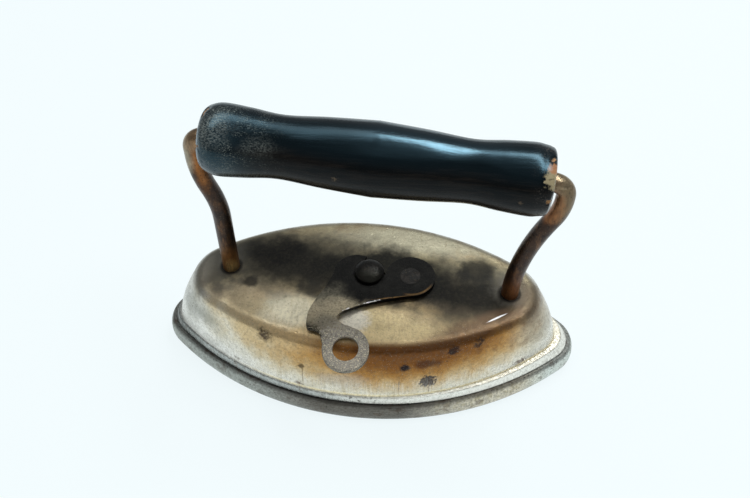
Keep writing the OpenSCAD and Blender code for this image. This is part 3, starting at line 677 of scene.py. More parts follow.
@dataclass(frozen=True)
class BluedPlate:
    """Blued steel plate of the latch: near black and sooty round the post, brown where the arm
    rubs, and worn grey with pale specks on the finger ring."""

    black: str = "#0B0B0A"
    top_z: float = 26.92
    patches: tuple[Stain, ...] = (
        Stain((-8, -10.5, 27), (5.5, 5, 5), "#625D50", 0.85, 1.1, 0.3),
        Stain((-5, -13, 27), (8, 4.5, 4), "#A2967D", 0.85, 0.8, 0.3),
        Stain((-7.5, -15, 27), (2.6, 2.0, 4), "#4A4A4A", 0.45, 0.9, 0.4),
        Stain((-2.4, -21, 25), (6.5, 6.4, 4), "#8A847A", 0.95, 0.6, 0.3, Rag.FINE),
        Stain((7.0, -6.75, 27), (4.0, 0.16, 3), "#6E5433", 0.7, 0.9, 0.3, Rag.FINE, turn=13.0),
    )
    glints: tuple[Stain, ...] = (
        Stain((1.9, -8.65, 27), (1.8, 0.2, 0.2), "#FFFFFF", 0.85, 0.9, 0.9, Rag.FINE, turn=22.0),
        Stain((-3.2, -11.1, 27), (0.9, 0.2, 0.2), "#FFFFFF", 0.85, 0.9, 0.9, Rag.FINE, turn=30.0),
    )
    pivot_x: float = 10.8
    lobe_r: float = 5.9

    def lobe_edge(self, paint: Paint) -> Feed:
        """A worn line just inside the round edge of the lobe, on its side away from the post."""
        away = paint.add("ShaderNodeVectorMath", {
            "Vector": paint.place, "Vector_001": (1.0, 1.0, 0.0),
            "Vector_002": (-self.pivot_x, 0.0, 0.0)}, operation="MULTIPLY_ADD")
        reach = paint.add("ShaderNodeVectorMath", {"Vector": away}, operation="LENGTH")
        return paint.overlap(paint.along(reach, self.lobe_r - 0.75, self.lobe_r - 0.5),
                             paint.along(reach, self.lobe_r - 0.05, self.lobe_r - 0.25),
                             paint.along(paint.y, -1.5, -4.0), paint.along(paint.x, 9.0, 11.5))

    def material(self) -> Material:
        """Builds the material."""
        paint = Paint("blued steel plate", metallic=0.78)
        paint.shader.inputs["Specular IOR Level"].default_value = 0.25
        cloud = paint.mottle(3.5, 0.38, 0.66, seed=41.0)
        sand = paint.mottle(0.45, 0.4, 0.7, seed=42.0, detail=4.0)
        pale = paint.mottle(0.28, 0.54, 0.64, seed=43.0, detail=3.0)
        pits = paint.specks(1.1, 0.16, seed=44.0)
        ring = paint.along(paint.y, -15.0, -18.0)
        lobe_edge = self.lobe_edge(paint)
        # Near black on the plate's edge faces below its top, away from the finger ring: painted
        # shade.
        side = paint.overlap(paint.along(paint.z, self.top_z - 0.12, self.top_z - 0.2),
                             paint.along(paint.y, -13.5, -12.0))
        colour = paint.stacked(self.black, [(cloud, 0.5, "#1D1C19")])
        colour = paint.stained(colour, self.patches)
        colour = paint.stacked(colour, [
            (sand, 0.35, "#191715"), (pale, ring, 0.55, "#E2D5B4"), (lobe_edge, 0.55, "#6E5433"),
            (pale, 0.02, "#8F8A80"), (pits, 0.6, "#121110"), (side, 0.95, "#060606"),
        ])
        colour = paint.stained(colour, self.glints)
        roughness = paint.stacked(0.42, [(cloud, 0.5, 0.52), (sand, 0.6, 0.62)])
        normal = paint.relief((cloud, 0.05), (sand, 0.02), (pits, -0.04))
        return paint.dress(colour, roughness, normal)


@dataclass(frozen=True)
class PostSteel:
    """Turned steel of the post and the pivot rivet: dark with soot, with a faint olive bloom."""

    dark: str = "#131311"

    def material(self) -> Material:
        """Builds the material."""
        paint = Paint("sooty turned steel", metallic=0.8)
        cloud = paint.mottle(1.8, 0.4, 0.66, seed=51.0)
        sand = paint.mottle(0.35, 0.4, 0.7, seed=52.0, detail=4.0)
        pits = paint.specks(0.8, 0.16, seed=53.0)
        olive = paint.overlap(paint.along(paint.y, 0.5, -2.5), paint.along(paint.z, 27.0, 28.0))
        colour = paint.stacked(self.dark, [
            (olive, 0.4, "#3A392F"), (cloud, 0.4, "#2A241F"), (sand, 0.4, "#151412"),
            (pits, 0.3, "#6D5C45")])
        roughness = paint.stacked(0.34, [(cloud, 0.5, 0.48), (sand, 0.6, 0.6)])
        normal = paint.relief((cloud, 0.04), (sand, 0.015))
        return paint.dress(colour, roughness, normal)


@dataclass(frozen=True)
class TinnedSheet:
    """Hot-tinned sheet and washers: dull grey with a soft spangle and a brown bloom from heat."""

    tin: str = "#A7A49C"

    def material(self) -> Material:
        """Builds the material."""
        paint = Paint("tinned sheet", metallic=0.85)
        spangle = paint.mottle(4.0, 0.35, 0.65, seed=61.0)
        bloom = paint.mottle(9.0, 0.45, 0.7, seed=62.0)
        grain = paint.mottle(0.4, 0.4, 0.75, seed=63.0, stretch=(12, 1, 1))
        colour = paint.stacked(self.tin, [
            (spangle, 0.5, "#8B8880"), (bloom, 0.6, "#7C6549"), (grain, 0.3, "#C4C1B8")])
        roughness = paint.stacked(0.42, [(spangle, 0.6, 0.34), (bloom, 0.7, 0.55)])
        return paint.dress(colour, roughness, paint.relief((spangle, 0.03), (grain, 0.006)))


@dataclass(frozen=True)
class FibreBoard:
    """Pressed mineral fibre board of the heat lining: chalky, with matted fibres on its face and
    edge, and scorched a little where it faces the core."""

    pale: str = "#C9C2B4"

    def material(self) -> Material:
        """Builds the material."""
        paint = Paint("pressed fibre board")
        fibre = paint.mottle(0.5, 0.35, 0.7, seed=71.0, stretch=(5, 2, 0.6), detail=4.0)
        cross = paint.mottle(0.5, 0.4, 0.7, seed=72.0, stretch=(1, 6, 0.6), detail=4.0)
        scorch = paint.mottle(11.0, 0.4, 0.75, seed=73.0)
        colour = paint.stacked(self.pale, [
            (fibre, 0.5, "#ADA491"), (cross, 0.4, "#DAD5CA"), (scorch, 0.6, "#8A7455")])
        roughness = paint.stacked(0.9, [(scorch, 0.5, 0.82)])
        return paint.dress(colour, roughness, paint.relief((fibre, 0.08), (cross, 0.06)))


@dataclass(frozen=True)
class BoatRing:
    """A level ring of the boat outline: two wide arcs that meet round points.

    Attributes:
        half_len: half its length.
        half_width: half its width.
        point_r: radius of its two points.
        z: its height.
        shift: how far its middle lies to the right.
    """

    half_len: float
    half_width: float
    point_r: float
    z: float
    shift: float = 0.0

    def inset(self, by: float, up: float = 0.0) -> "BoatRing":
        """The ring moved in along its normal, and up."""
        return replace(self, half_len=self.half_len - by, half_width=self.half_width - by,
                       point_r=self.point_r - by, z=self.z + up)

    def scaled(self, share: float, z: float) -> "BoatRing":
        """The ring shrunk about its middle, at another height."""
        return BoatRing(self.half_len * share, self.half_width * share, self.point_r * share, z,
                        self.shift * share)

    def toward(self, other: "BoatRing", share: float) -> "BoatRing":
        """The ring part of the way to another."""
        return BoatRing(*(a + (b - a) * share for a, b in (
            (self.half_len, other.half_len), (self.half_width, other.half_width),
            (self.point_r, other.point_r), (self.z, other.z), (self.shift, other.shift))))

    def points(self, side_steps: int = 60, point_steps: int = 20) -> list[Vector]:
        """Its points counterclockwise from above, in metres.

        Args:
            side_steps: segments of each long side.
            point_steps: segments round each point.

        Returns:
            One closed loop of points.
        """
        a, b = self.half_len - self.point_r, self.half_width - self.point_r
        radius = (a * a + b * b) / (2 * b)
        centre = radius - b
        side_r = radius + self.point_r
        half = math.asin(a / radius)
        loop = []
        for i in range(side_steps):
            t = half * (2 * i / side_steps - 1)
            loop.append((side_r * math.sin(t), centre - side_r * math.cos(t)))
        for i in range(point_steps):
            t = half + (math.pi - 2 * half) * i / point_steps
            loop.append((a + self.point_r * math.sin(t), -self.point_r * math.cos(t)))
        loop += [(-x, -y) for x, y in loop]
        return [Vector((x + self.shift, y, self.z)) * MM for x, y in loop]


def linked(name: str, data: bpy.types.ID) -> Piece:
    """Links a mesh, lamp or camera to the scene as an object at the origin."""
    piece = bpy.data.objects.new(name, data)
    bpy.context.scene.collection.objects.link(piece)
    return piece


def piece_of(name: str, shape: bmesh.types.BMesh) -> Piece:
    """Turns a shape into a piece of the scene, and frees it."""
    mesh = bpy.data.meshes.new(name)
    shape.to_mesh(mesh)
    shape.free()
    return linked(name, mesh)


def lofted(name: str, rings: list[BoatRing]) -> Piece:
    """A closed solid through rings, the first and last of which are closed by a fan.

    Args:
        name: the piece's name.
        rings: the rings in order.

    Returns:
        The piece.
    """
    shape = bmesh.new()
    loops = [[shape.verts.new(p) for p in ring.points()] for ring in rings]
    for low, high in zip(loops, loops[1:]):
        for i in range(len(low)):
            k = (i + 1) % len(low)
            shape.faces.new((low[i], low[k], high[k], high[i]))
    for loop, end in ((loops[0], rings[0]), (loops[-1], rings[-1])):
        pole = shape.verts.new(Vector((0, 0, end.z)) * MM)
        for i in range(len(loop)):
            shape.faces.new((loop[i], loop[(i + 1) % len(loop)], pole))
    bmesh.ops.recalc_face_normals(shape, faces=shape.faces)
    return piece_of(name, shape)


def settled(piece: Piece) -> Piece:
    """Turns a piece with its modifiers into a plain mesh piece of the same name."""
    evaluated = piece.evaluated_get(bpy.context.evaluated_depsgraph_get())
    mesh = bpy.data.meshes.new_from_object(evaluated)
    mesh.name = piece.name
    piece.modifiers.clear()
    piece.data = mesh
    return piece


def smoothed(piece: Piece, sharp_degrees: float = 32.0) -> Piece:
    """Shades a piece smooth with sharp edges kept, and evens its normals."""
    piece.data.shade_smooth()
    piece.data.set_sharp_from_angle(angle=math.radians(sharp_degrees))
    even = piece.modifiers.new("even normals", "WEIGHTED_NORMAL")
    even.keep_sharp = True
    return settled(piece)


@dataclass(frozen=True)
class Bore:
    """An upright round cut: its place, diameter and heights."""

    x: float
    y: float
    d: float
    low: float
    high: float


def bored(piece: Piece, bores: list[Bore]) -> Piece:
    """Cuts bores out of a piece, all with one tool of closed cylinders.

    Args:
        piece: the piece.
        bores: what to cut.

    Returns:
        The same piece, as a plain mesh.
    """
    shape = bmesh.new()
    for bore in bores:
        place = Matrix.Translation(Vector((bore.x, bore.y, (bore.low + bore.high) / 2)) * MM)
        bmesh.ops.create_cone(shape, cap_ends=True, segments=ROUND_STEPS, radius1=bore.d / 2 * MM,
                              radius2=bore.d / 2 * MM, depth=(bore.high - bore.low) * MM,
                              matrix=place)
    tool = piece_of("bores", shape)
    cut = piece.modifiers.new("bores", "BOOLEAN")
    cut.operation, cut.solver, cut.object = "DIFFERENCE", "EXACT", tool
    settled(piece)
    bpy.data.objects.remove(tool)
    return piece


def inputs_of(tree: Tree) -> dict[str, str]:
    """The identifiers of a tree's named inputs."""
    return {item.name: item.identifier for item in tree.interface.items_tree
            if item.item_type == "SOCKET" and item.in_out == "INPUT"}


def grown(name: str, line: bpy.types.Mesh, tree: Tree, material: Material,
          sizes: dict[str, float | int]) -> Piece:
    """Grows a piece from a line mesh by a geometry tree.

    Args:
        name: the piece's name.
        line: the line that the tree follows.
        tree: the tree, with an input named Finish for the material.
        material: the finish.
        sizes: the tree's other inputs by name.

    Returns:
        The piece as a plain mesh, without the modifier.
    """
    piece = linked(name, line)
    grow = piece.modifiers.new("grow", "NODES")
    grow.node_group = tree
    sockets = inputs_of(tree)
    for size, value in {"Finish": material, **sizes}.items():
        grow[sockets[size]] = value
    return settled(piece)


def new_tree(name: str, sizes: dict[str, str]) -> tuple[Tree, Node]:
    """Starts a geometry tree.

    Args:
        name: the tree's name.
        sizes: named inputs and their socket types.

    Returns:
        The tree and its input node.
    """
    tree = bpy.data.node_groups.new(name, "GeometryNodeTree")
    tree.interface.new_socket("Line", in_out="INPUT", socket_type="NodeSocketGeometry")
    for size, kind in sizes.items():
        tree.interface.new_socket(size, in_out="INPUT", socket_type=kind)
    tree.interface.new_socket("Finish", in_out="INPUT", socket_type="NodeSocketMaterial")
    tree.interface.new_socket("Solid", in_out="OUTPUT", socket_type="NodeSocketGeometry")
    return tree, tree.nodes.new("NodeGroupInput")


def end_tree(tree: Tree, given: Node, solid: Feed) -> None:
    """Ends a geometry tree in Realize Instances and Set Material.

    Args:
        tree: the tree.
        given: its input node.
        solid: the mesh so far.
    """
    real = add(tree, "GeometryNodeRealizeInstances", {"Geometry": solid})
    dressed = add(tree, "GeometryNodeSetMaterial", {
        "Geometry": real, "Material": given.outputs["Finish"]})
    out = tree.nodes.new("NodeGroupOutput")
    tree.links.new(source(dressed), out.inputs["Solid"])


def turning_tree() -> Tree:
    """A lathe: turns a line in the XZ plane about Z, and chips the rims at both of its ends.

    Returns:
        The tree, with inputs for the steps of a turn, and for the chips' depth, reach and seed.
    """
    tree, given = new_tree("turned piece", {
        "Turns": "NodeSocketInt", "Half length": "NodeSocketFloat",
        "Chip depth": "NodeSocketFloat", "Chip reach": "NodeSocketFloat",
        "Chip size": "NodeSocketFloat", "Seed": "NodeSocketFloat"})
    line, turns = given.outputs["Line"], given.outputs["Turns"]
    count = add(tree, "GeometryNodeAttributeDomainSize", {"Geometry": line}, component="MESH")
    rows = add(tree, "ShaderNodeMath", {"Value": turns, "Value_001": 1.0})
    grid = add(tree, "GeometryNodeMeshGrid", {
        "Vertices X": count.outputs["Point Count"], "Vertices Y": rows})
    index = add(tree, "GeometryNodeInputIndex")
    share = add(tree, "ShaderNodeMath", {"Value": index, "Value_001": rows}, operation="DIVIDE")
    column = add(tree, "ShaderNodeMath", {"Value": share}, operation="FLOOR")
    row = add(tree, "ShaderNodeMath", {"Value": index, "Value_001": rows}, operation="MODULO")
    spot = add(tree, "GeometryNodeSampleIndex", {
        "Geometry": line, "Value": add(tree, "GeometryNodeInputPosition"),
        "Index": column}, data_type="FLOAT_VECTOR", domain="POINT")
    part = add(tree, "ShaderNodeMath", {"Value": row, "Value_001": turns}, operation="DIVIDE")
    angle = add(tree, "ShaderNodeMath", {"Value": part, "Value_001": 2 * math.pi},
                operation="MULTIPLY")
    turned = add(tree, "ShaderNodeVectorRotate", {"Vector": spot, "Angle": angle},
                 rotation_type="Z_AXIS")
    placed = add(tree, "GeometryNodeSetPosition", {"Geometry": grid, "Position": turned})
    joined = add(tree, "GeometryNodeMergeByDistance", {"Geometry": placed, "Distance": 0.002 * MM})
    chipped, mark = chipping(tree, given)
    marked = add(tree, "GeometryNodeStoreNamedAttribute", {
        "Geometry": joined, "Name": "chip", "Value": mark},
        data_type="FLOAT", domain="POINT")
    sunk = add(tree, "GeometryNodeSetPosition", {"Geometry": marked, "Offset": chipped})
    smooth = add(tree, "GeometryNodeSetShadeSmooth", {"Geometry": sunk})
    end_tree(tree, given, smooth)
    return tree


def chipping(tree: Tree, given: Node) -> tuple[Feed, Feed]:
    """Chips in the rims at both ends of a turned piece.

    Args:
        tree: the tree.
        given: its input node.

    Returns:
        How far each point sinks, and how chipped it is from 0 to 1.
    """
    spot = add(tree, "GeometryNodeInputPosition")
    z = add(tree, "ShaderNodeSeparateXYZ", {"Vector": spot}).outputs["Z"]
    height = add(tree, "ShaderNodeMath", {"Value": z}, operation="ABSOLUTE")
    depth = add(tree, "ShaderNodeMath", {
        "Value": given.outputs["Half length"], "Value_001": height},
        operation="SUBTRACT")
    near = add(tree, "ShaderNodeMapRange", {
        "Value": depth, "From Min": given.outputs["Chip reach"], "From Max": 0.0},
        interpolation_type="SMOOTHSTEP")
    noise = add(tree, "ShaderNodeTexNoise", {
        "Vector": spot, "W": given.outputs["Seed"], "Scale": given.outputs["Chip size"],
        "Detail": 3.0}, noise_dimensions="4D")
    rough = add(tree, "ShaderNodeMapRange", {"Value": noise, "From Min": 0.56, "From Max": 0.7})
    mark = add(tree, "ShaderNodeMath", {"Value": near, "Value_001": rough}, operation="MULTIPLY")
    sink = add(tree, "ShaderNodeMath", {
        "Value": mark, "Value_001": given.outputs["Chip depth"]},
        operation="MULTIPLY")
    flat = add(tree, "ShaderNodeVectorMath", {"Vector": spot, "Vector_001": (-1.0, -1.0, 0.0)},
               operation="MULTIPLY")
    inward = add(tree, "ShaderNodeVectorMath", {"Vector": flat}, operation="NORMALIZE")
    move = add(tree, "ShaderNodeVectorMath", {"Vector": inward, "Scale": sink}, operation="SCALE")
    return move, mark


def bar_tree() -> Tree:
    """A bent bar: sweeps a circle along a line, as thick as the line's attribute says.

    Returns:
        The tree, with an input for the sides of the bar.
    """
    tree, given = new_tree("bent bar", {"Sides": "NodeSocketInt"})
    path = add(tree, "GeometryNodeMeshToCurve", {"Mesh": given.outputs["Line"]})
    ring = add(tree, "GeometryNodeCurvePrimitiveCircle", {
        "Resolution": given.outputs["Sides"], "Radius": 1.0})
    thick = add(tree, "GeometryNodeInputNamedAttribute", {"Name": "bar_radius"}, data_type="FLOAT")
    swept = add(tree, "GeometryNodeCurveToMesh", {
        "Curve": path, "Profile Curve": ring, "Scale": thick, "Fill Caps": True})
    smooth = add(tree, "GeometryNodeSetShadeSmooth", {"Geometry": swept})
    end_tree(tree, given, smooth)
    return tree


def line_mesh(name: str, points: list[Vector], closed: bool = False) -> bpy.types.Mesh:
    """A mesh of one line through points in millimetres.

    Args:
        name: the mesh's name.
        points: its points.
        closed: repeats the first point at the end.

    Returns:
        The mesh, in metres.
    """
    run = [p * MM for p in points]
    if closed:
        run.append(run[0].copy())
    mesh = bpy.data.meshes.new(name)
    mesh.from_pydata(run, [(i, i + 1) for i in range(len(run) - 1)], [])
    return mesh


def outward(piece: Piece) -> Piece:
    """Makes a closed piece's faces point outwards."""
    shape = bmesh.new()
    shape.from_mesh(piece.data)
    bmesh.ops.remove_doubles(shape, verts=shape.verts, dist=0.001 * MM)
    bmesh.ops.recalc_face_normals(shape, faces=shape.faces)
    shape.to_mesh(piece.data)
    shape.free()
    return piece


def turned(name: str, outline: list[tuple[float, float]], x: float, lathe: Tree, finish: Material,
           sharp_degrees: float) -> Piece:
    """Turns an upright piece on the lathe.

    Args:
        name: the piece's name.
        outline: radius and height of each point, from end to end.
        x: its place along the iron.
        lathe: the tree that turns it.
        finish: its material.
        sharp_degrees: the least angle of an edge that stays sharp.

    Returns:
        The piece.
    """
    line = line_mesh(name, [Vector((r, 0, z)) for r, z in outline])
    piece = grown(name, line, lathe, finish, {"Turns": ROUND_STEPS})
    piece.data.transform(Matrix.Translation((x * MM, 0, 0)))
    return smoothed(outward(piece), sharp_degrees)


def dress(piece: Piece, material: Material) -> None:
    """Gives a piece one material."""
    piece.data.materials.clear()
    piece.data.materials.append(material)


def dress_node(node: Piece, material: Material) -> None:
    """Gives a CAD node a finish through its object's slots, and leaves its mesh alone."""
    if not node.material_slots:
        node.data.materials.append(None)
    for slot in node.material_slots:
        slot.link = "OBJECT"
        slot.material = material


def ride(piece: Piece, body: str, slot: str, *nodes: str) -> None:
    """Makes a piece ride on a body and stand for CAD nodes, which it hides."""
    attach(piece, body)
    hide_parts(*nodes)
    LOG.info("%s: %d faces on %s", piece.name, len(piece.data.polygons), body)


@dataclass(frozen=True)
class Profile:
    """The stack of heights and rings that the hood and the core share, as in the CAD."""

    flange_h: float = 6.0
    crown_rise: float = 1.5
    shoulder_r: float = 3.8
    wall: float = 0.9
    shoulder_low: float = 18.0
    shoulder_high: float = 81.0
    wall_bulge: float = 0.6
    sole: BoatRing = BoatRing(51.5, 24.4, 8.0, 0.0, 0.9)
    foot: BoatRing = BoatRing(49.8, 23.2, 7.0, 6.1, 0.9)
    lip: BoatRing = BoatRing(48.37, 23.2, 7.275, 8.5, 0.405)
    wall_foot: BoatRing = BoatRing(47.2, 22.7, 7.5, 8.75)
    crease: BoatRing = BoatRing(39.3, 17.2, 7.3, 24.3)

    @property
    def wall_top(self) -> BoatRing:
        """The ring where the wall runs into the rounded shoulder."""
        low, high = math.radians(self.shoulder_low), math.radians(self.shoulder_high)
        return self.crease.inset(-self.shoulder_r * (math.cos(low) - math.cos(high)),
                                 -self.shoulder_r * (math.sin(high) - math.sin(low)))

    def wall_at(self, z: float) -> BoatRing:
        """The ring at a height on the straight line from the wall's foot to its top."""
        low, high = self.wall_foot.z, self.wall_top.z
        return self.wall_foot.toward(self.wall_top, (z - low) / (high - low))

    def crown_z(self, share: float) -> float:
        """Height of the hood's top at a share of the way out to its crease."""
        return self.crease.z + self.crown_rise * (1 - share * share)


@dataclass
class Core:
    """The cast core: a boat-shaped slug on a flange with a bulging side, and its headed post."""

    profile: Profile
    bulge: float = 0.9
    bulge_turn: float = 60.0
    slug_air: float = 3.5
    slug_edge: float = 1.5
    slug_top: float = 16.9
    post_x: float = 1.0
    neck_r: float = 2.1
    head_r: float = 3.5
    head_h: float = 2.1
    head_z: float = 27.04
    root: float = 7.0

    def slug(self) -> Piece:
        """Builds the flange and the slug as one loft with a fine bulge and rounded edges."""
        sole = self.profile.sole
        rings = [sole.scaled(0.5, 0.0), sole.inset(1.6)]
        turn = math.radians(self.bulge_turn)
        for i in range(-10, 11):
            t = turn * i / 10
            inset = self.bulge * (1 - math.cos(t)) / (1 - math.cos(turn))
            up = self.profile.flange_h / 2 * (1 + math.sin(t) / math.sin(turn))
            rings.append(sole.inset(inset, up))
        top = rings[-1]
        rings.append(top.inset(0.25, 0.0))
        slug_in = self.profile.wall + self.slug_air
        low = self.profile.wall_at(self.profile.flange_h).inset(slug_in)
        high = self.profile.wall_at(self.slug_top).inset(slug_in)
        rings += [low.inset(-0.8), low.inset(0, 0.5), high.inset(0, -self.slug_edge)]
        for i in range(1, 9):
            t = math.radians(90 * i / 8)
            rings.append(high.inset(self.slug_edge * (1 - math.cos(t)),
                                    self.slug_edge * (math.sin(t) - 1)))
        rings.append(high.scaled(0.5, self.slug_top))
        piece = lofted("core_casting", rings)
        bored(piece, [Bore(self.post_x, 0, 2 * self.neck_r + 0.1,
                           self.slug_top - self.root - 0.05, self.slug_top + 1)])
        return smoothed(piece, 40.0)

    def post(self, lathe: Tree, finish: Material) -> Piece:
        """Turns the post: root, neck and a low domed head with a rounded rim."""
        rim = self.head_h / 4
        foot, neck, head, under = self.slug_top - self.root, self.neck_r, self.head_r, self.head_z
        points = [(0, foot), (neck - 0.15, foot), (neck, foot + 0.15), (neck, under - 0.02),
                  (neck + 0.02, under), (head - 0.35, under), (head - 0.12, under + 0.08),
                  (head - 0.02, under + 0.25), (head, under + rim)]
        for i in range(1, 15):
            t = math.radians(90 * i / 14)
            points.append((head * math.cos(t), under + rim + (self.head_h - rim) * math.sin(t)))
        return turned("core_post_turned", points, self.post_x, lathe, finish, 40.0)

    def build(self, lathe: Tree) -> None:
        """Builds, dresses and places the core's pieces."""
        casting = self.slug()
        dress(casting, CastIron().material())
        ride(casting, "core", "core_iron", "core_slug")
        steel = PostSteel().material()
        ride(self.post(lathe, steel), "core", "post_steel", "core_post")


@dataclass
class Hood:
    """The pressed hood with its lining, the bent rod that stands on it and the latch's rivet."""

    profile: Profile
    post_hole: Bore = Bore(1.0, 0.0, 7.7, 20.0, 27.0)
    rivet_hole: Bore = Bore(10.8, 0.0, 3.1, 20.0, 27.0)
    yaw: float = 2.0
    left_foot: float = 32.7
    right_foot: float = 34.4
    tenon_d: float = 3.2
    rod_d: float = 4.1
    leg_gap: float = 0.4
    seat_z: float = 24.2507

    def outside(self) -> list[BoatRing]:
        """The rings of the outside, from the rolled foot over the ledge, wall and shoulder."""
        p = self.profile
        foot, lip, wall_top = p.foot, p.lip, p.wall_top
        rings = [foot.inset(0.3), foot.inset(0.1, 0.06), foot.toward(lip, 0.1),
                 foot.toward(lip, 0.88), foot.toward(lip, 0.96).inset(0.06), lip.inset(0.2),
                 replace(lip.toward(p.wall_foot, 0.76), z=lip.z + 0.06),
                 replace(lip.toward(p.wall_foot, 0.96), z=lip.z + 0.16)]
        low, high = math.radians(p.shoulder_low), math.radians(p.shoulder_high)
        for i in range(0, 19):
            share = i / 18
            rings.append(p.wall_foot.toward(wall_top, share).inset(
                -p.wall_bulge * math.sin(math.pi * share)))
        for i in range(1, 12):
            t = low + (high - low) * i / 12
            rings.append(wall_top.inset(p.shoulder_r * (math.cos(low) - math.cos(t)),
                                        p.shoulder_r * (math.sin(t) - math.sin(low))))
        rings.append(p.crease)
        for share in [0.97, 0.93] + [0.88 - 0.06 * i for i in range(15)]:
            rings.append(p.crease.scaled(share, p.crown_z(share)))
        return rings

    def inside(self) -> list[BoatRing]:
        """The rings of the inside, one sheet thickness in."""
        p = self.profile
        step = p.wall_foot.inset(p.wall, -p.wall / 2)
        top = p.wall_top.inset(p.wall + 0.37, -p.wall / 2)
        rings = [p.foot.inset(p.wall), p.lip.inset(p.wall, -0.5), step]
        for i in range(1, 9):
            share = i / 8
            rings.append(step.toward(top, share).inset(-p.wall_bulge * math.sin(math.pi * share)))
        edge = p.crease.inset(p.wall / 2, -p.wall)
        rings += [top.toward(edge, 0.5).inset(-0.35, 0.3), edge]
        for share in (0.9, 0.75, 0.6, 0.45, 0.3, 0.15):
            rings.append(edge.scaled(share, p.crown_z(share) - p.wall))
        return rings

    def feet(self) -> list[Vector]:
        """Where the two legs stand."""
        turn = math.radians(-self.yaw)
        return [Vector((s * math.cos(turn), s * math.sin(turn), 0))
                for s in (-self.left_foot, self.right_foot)]

    def shell(self) -> Piece:
        """Builds the hood with its holes and the seats of the legs."""
        bores = [self.post_hole, self.rivet_hole]
        for foot in self.feet():
            bores.append(Bore(foot.x, foot.y, self.rod_d + 2 * self.leg_gap, self.seat_z, 27.0))
            bores.append(Bore(foot.x, foot.y, self.tenon_d + 0.1, 20.0, 26.0))
        piece = lofted("hood_pressing", self.inside()[::-1] + self.outside())
        return smoothed(bored(piece, bores), 34.0)

    def build(self, nodes: dict[str, Piece], bar: Tree, lathe: Tree) -> None:
        """Builds, dresses and places the hood's pieces.

        Args:
            nodes: the CAD nodes.
            bar: the tree of the bent rod.
            lathe: the tree of the turned rivet.
        """
        shell = self.shell()
        dress(shell, NickelPlate().material())
        ride(shell, "hood", "hood_nickel", "hood_shell")
        rod = Rod(self).piece(bar, RodSteel().material())
        ride(rod, "hood", "rod_steel", "handle_rod")
        ride(self.rivet(lathe, PostSteel(dark="#171614").material()), "hood", "post_steel",
             "latch_rivet")
        tin = TinnedSheet().material()
        for name in ("lining_plate", "rod_washers", "rivet_washer"):
            dress_node(nodes[name], tin)
        dress_node(nodes["heat_lining"], FibreBoard().material())

    def rivet(self, lathe: Tree, finish: Material) -> Piece:
        """Turns the latch's flush rivet: head, shank and the riveted-over end."""
        low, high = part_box("latch_rivet")
        bottom, top = low.z / MM, high.z / MM
        points = [(0, bottom), (2.28, bottom), (2.4, bottom + 0.12), (2.4, bottom + 0.68),
                  (2.28, bottom + 0.8), (1.5, bottom + 0.8), (1.5, top - 0.8), (2.46, top - 0.04),
                  (2.4, top), (1.2, top), (0, top)]
        return turned("latch_rivet_turned", points, self.rivet_hole.x, lathe, finish, 30.0)


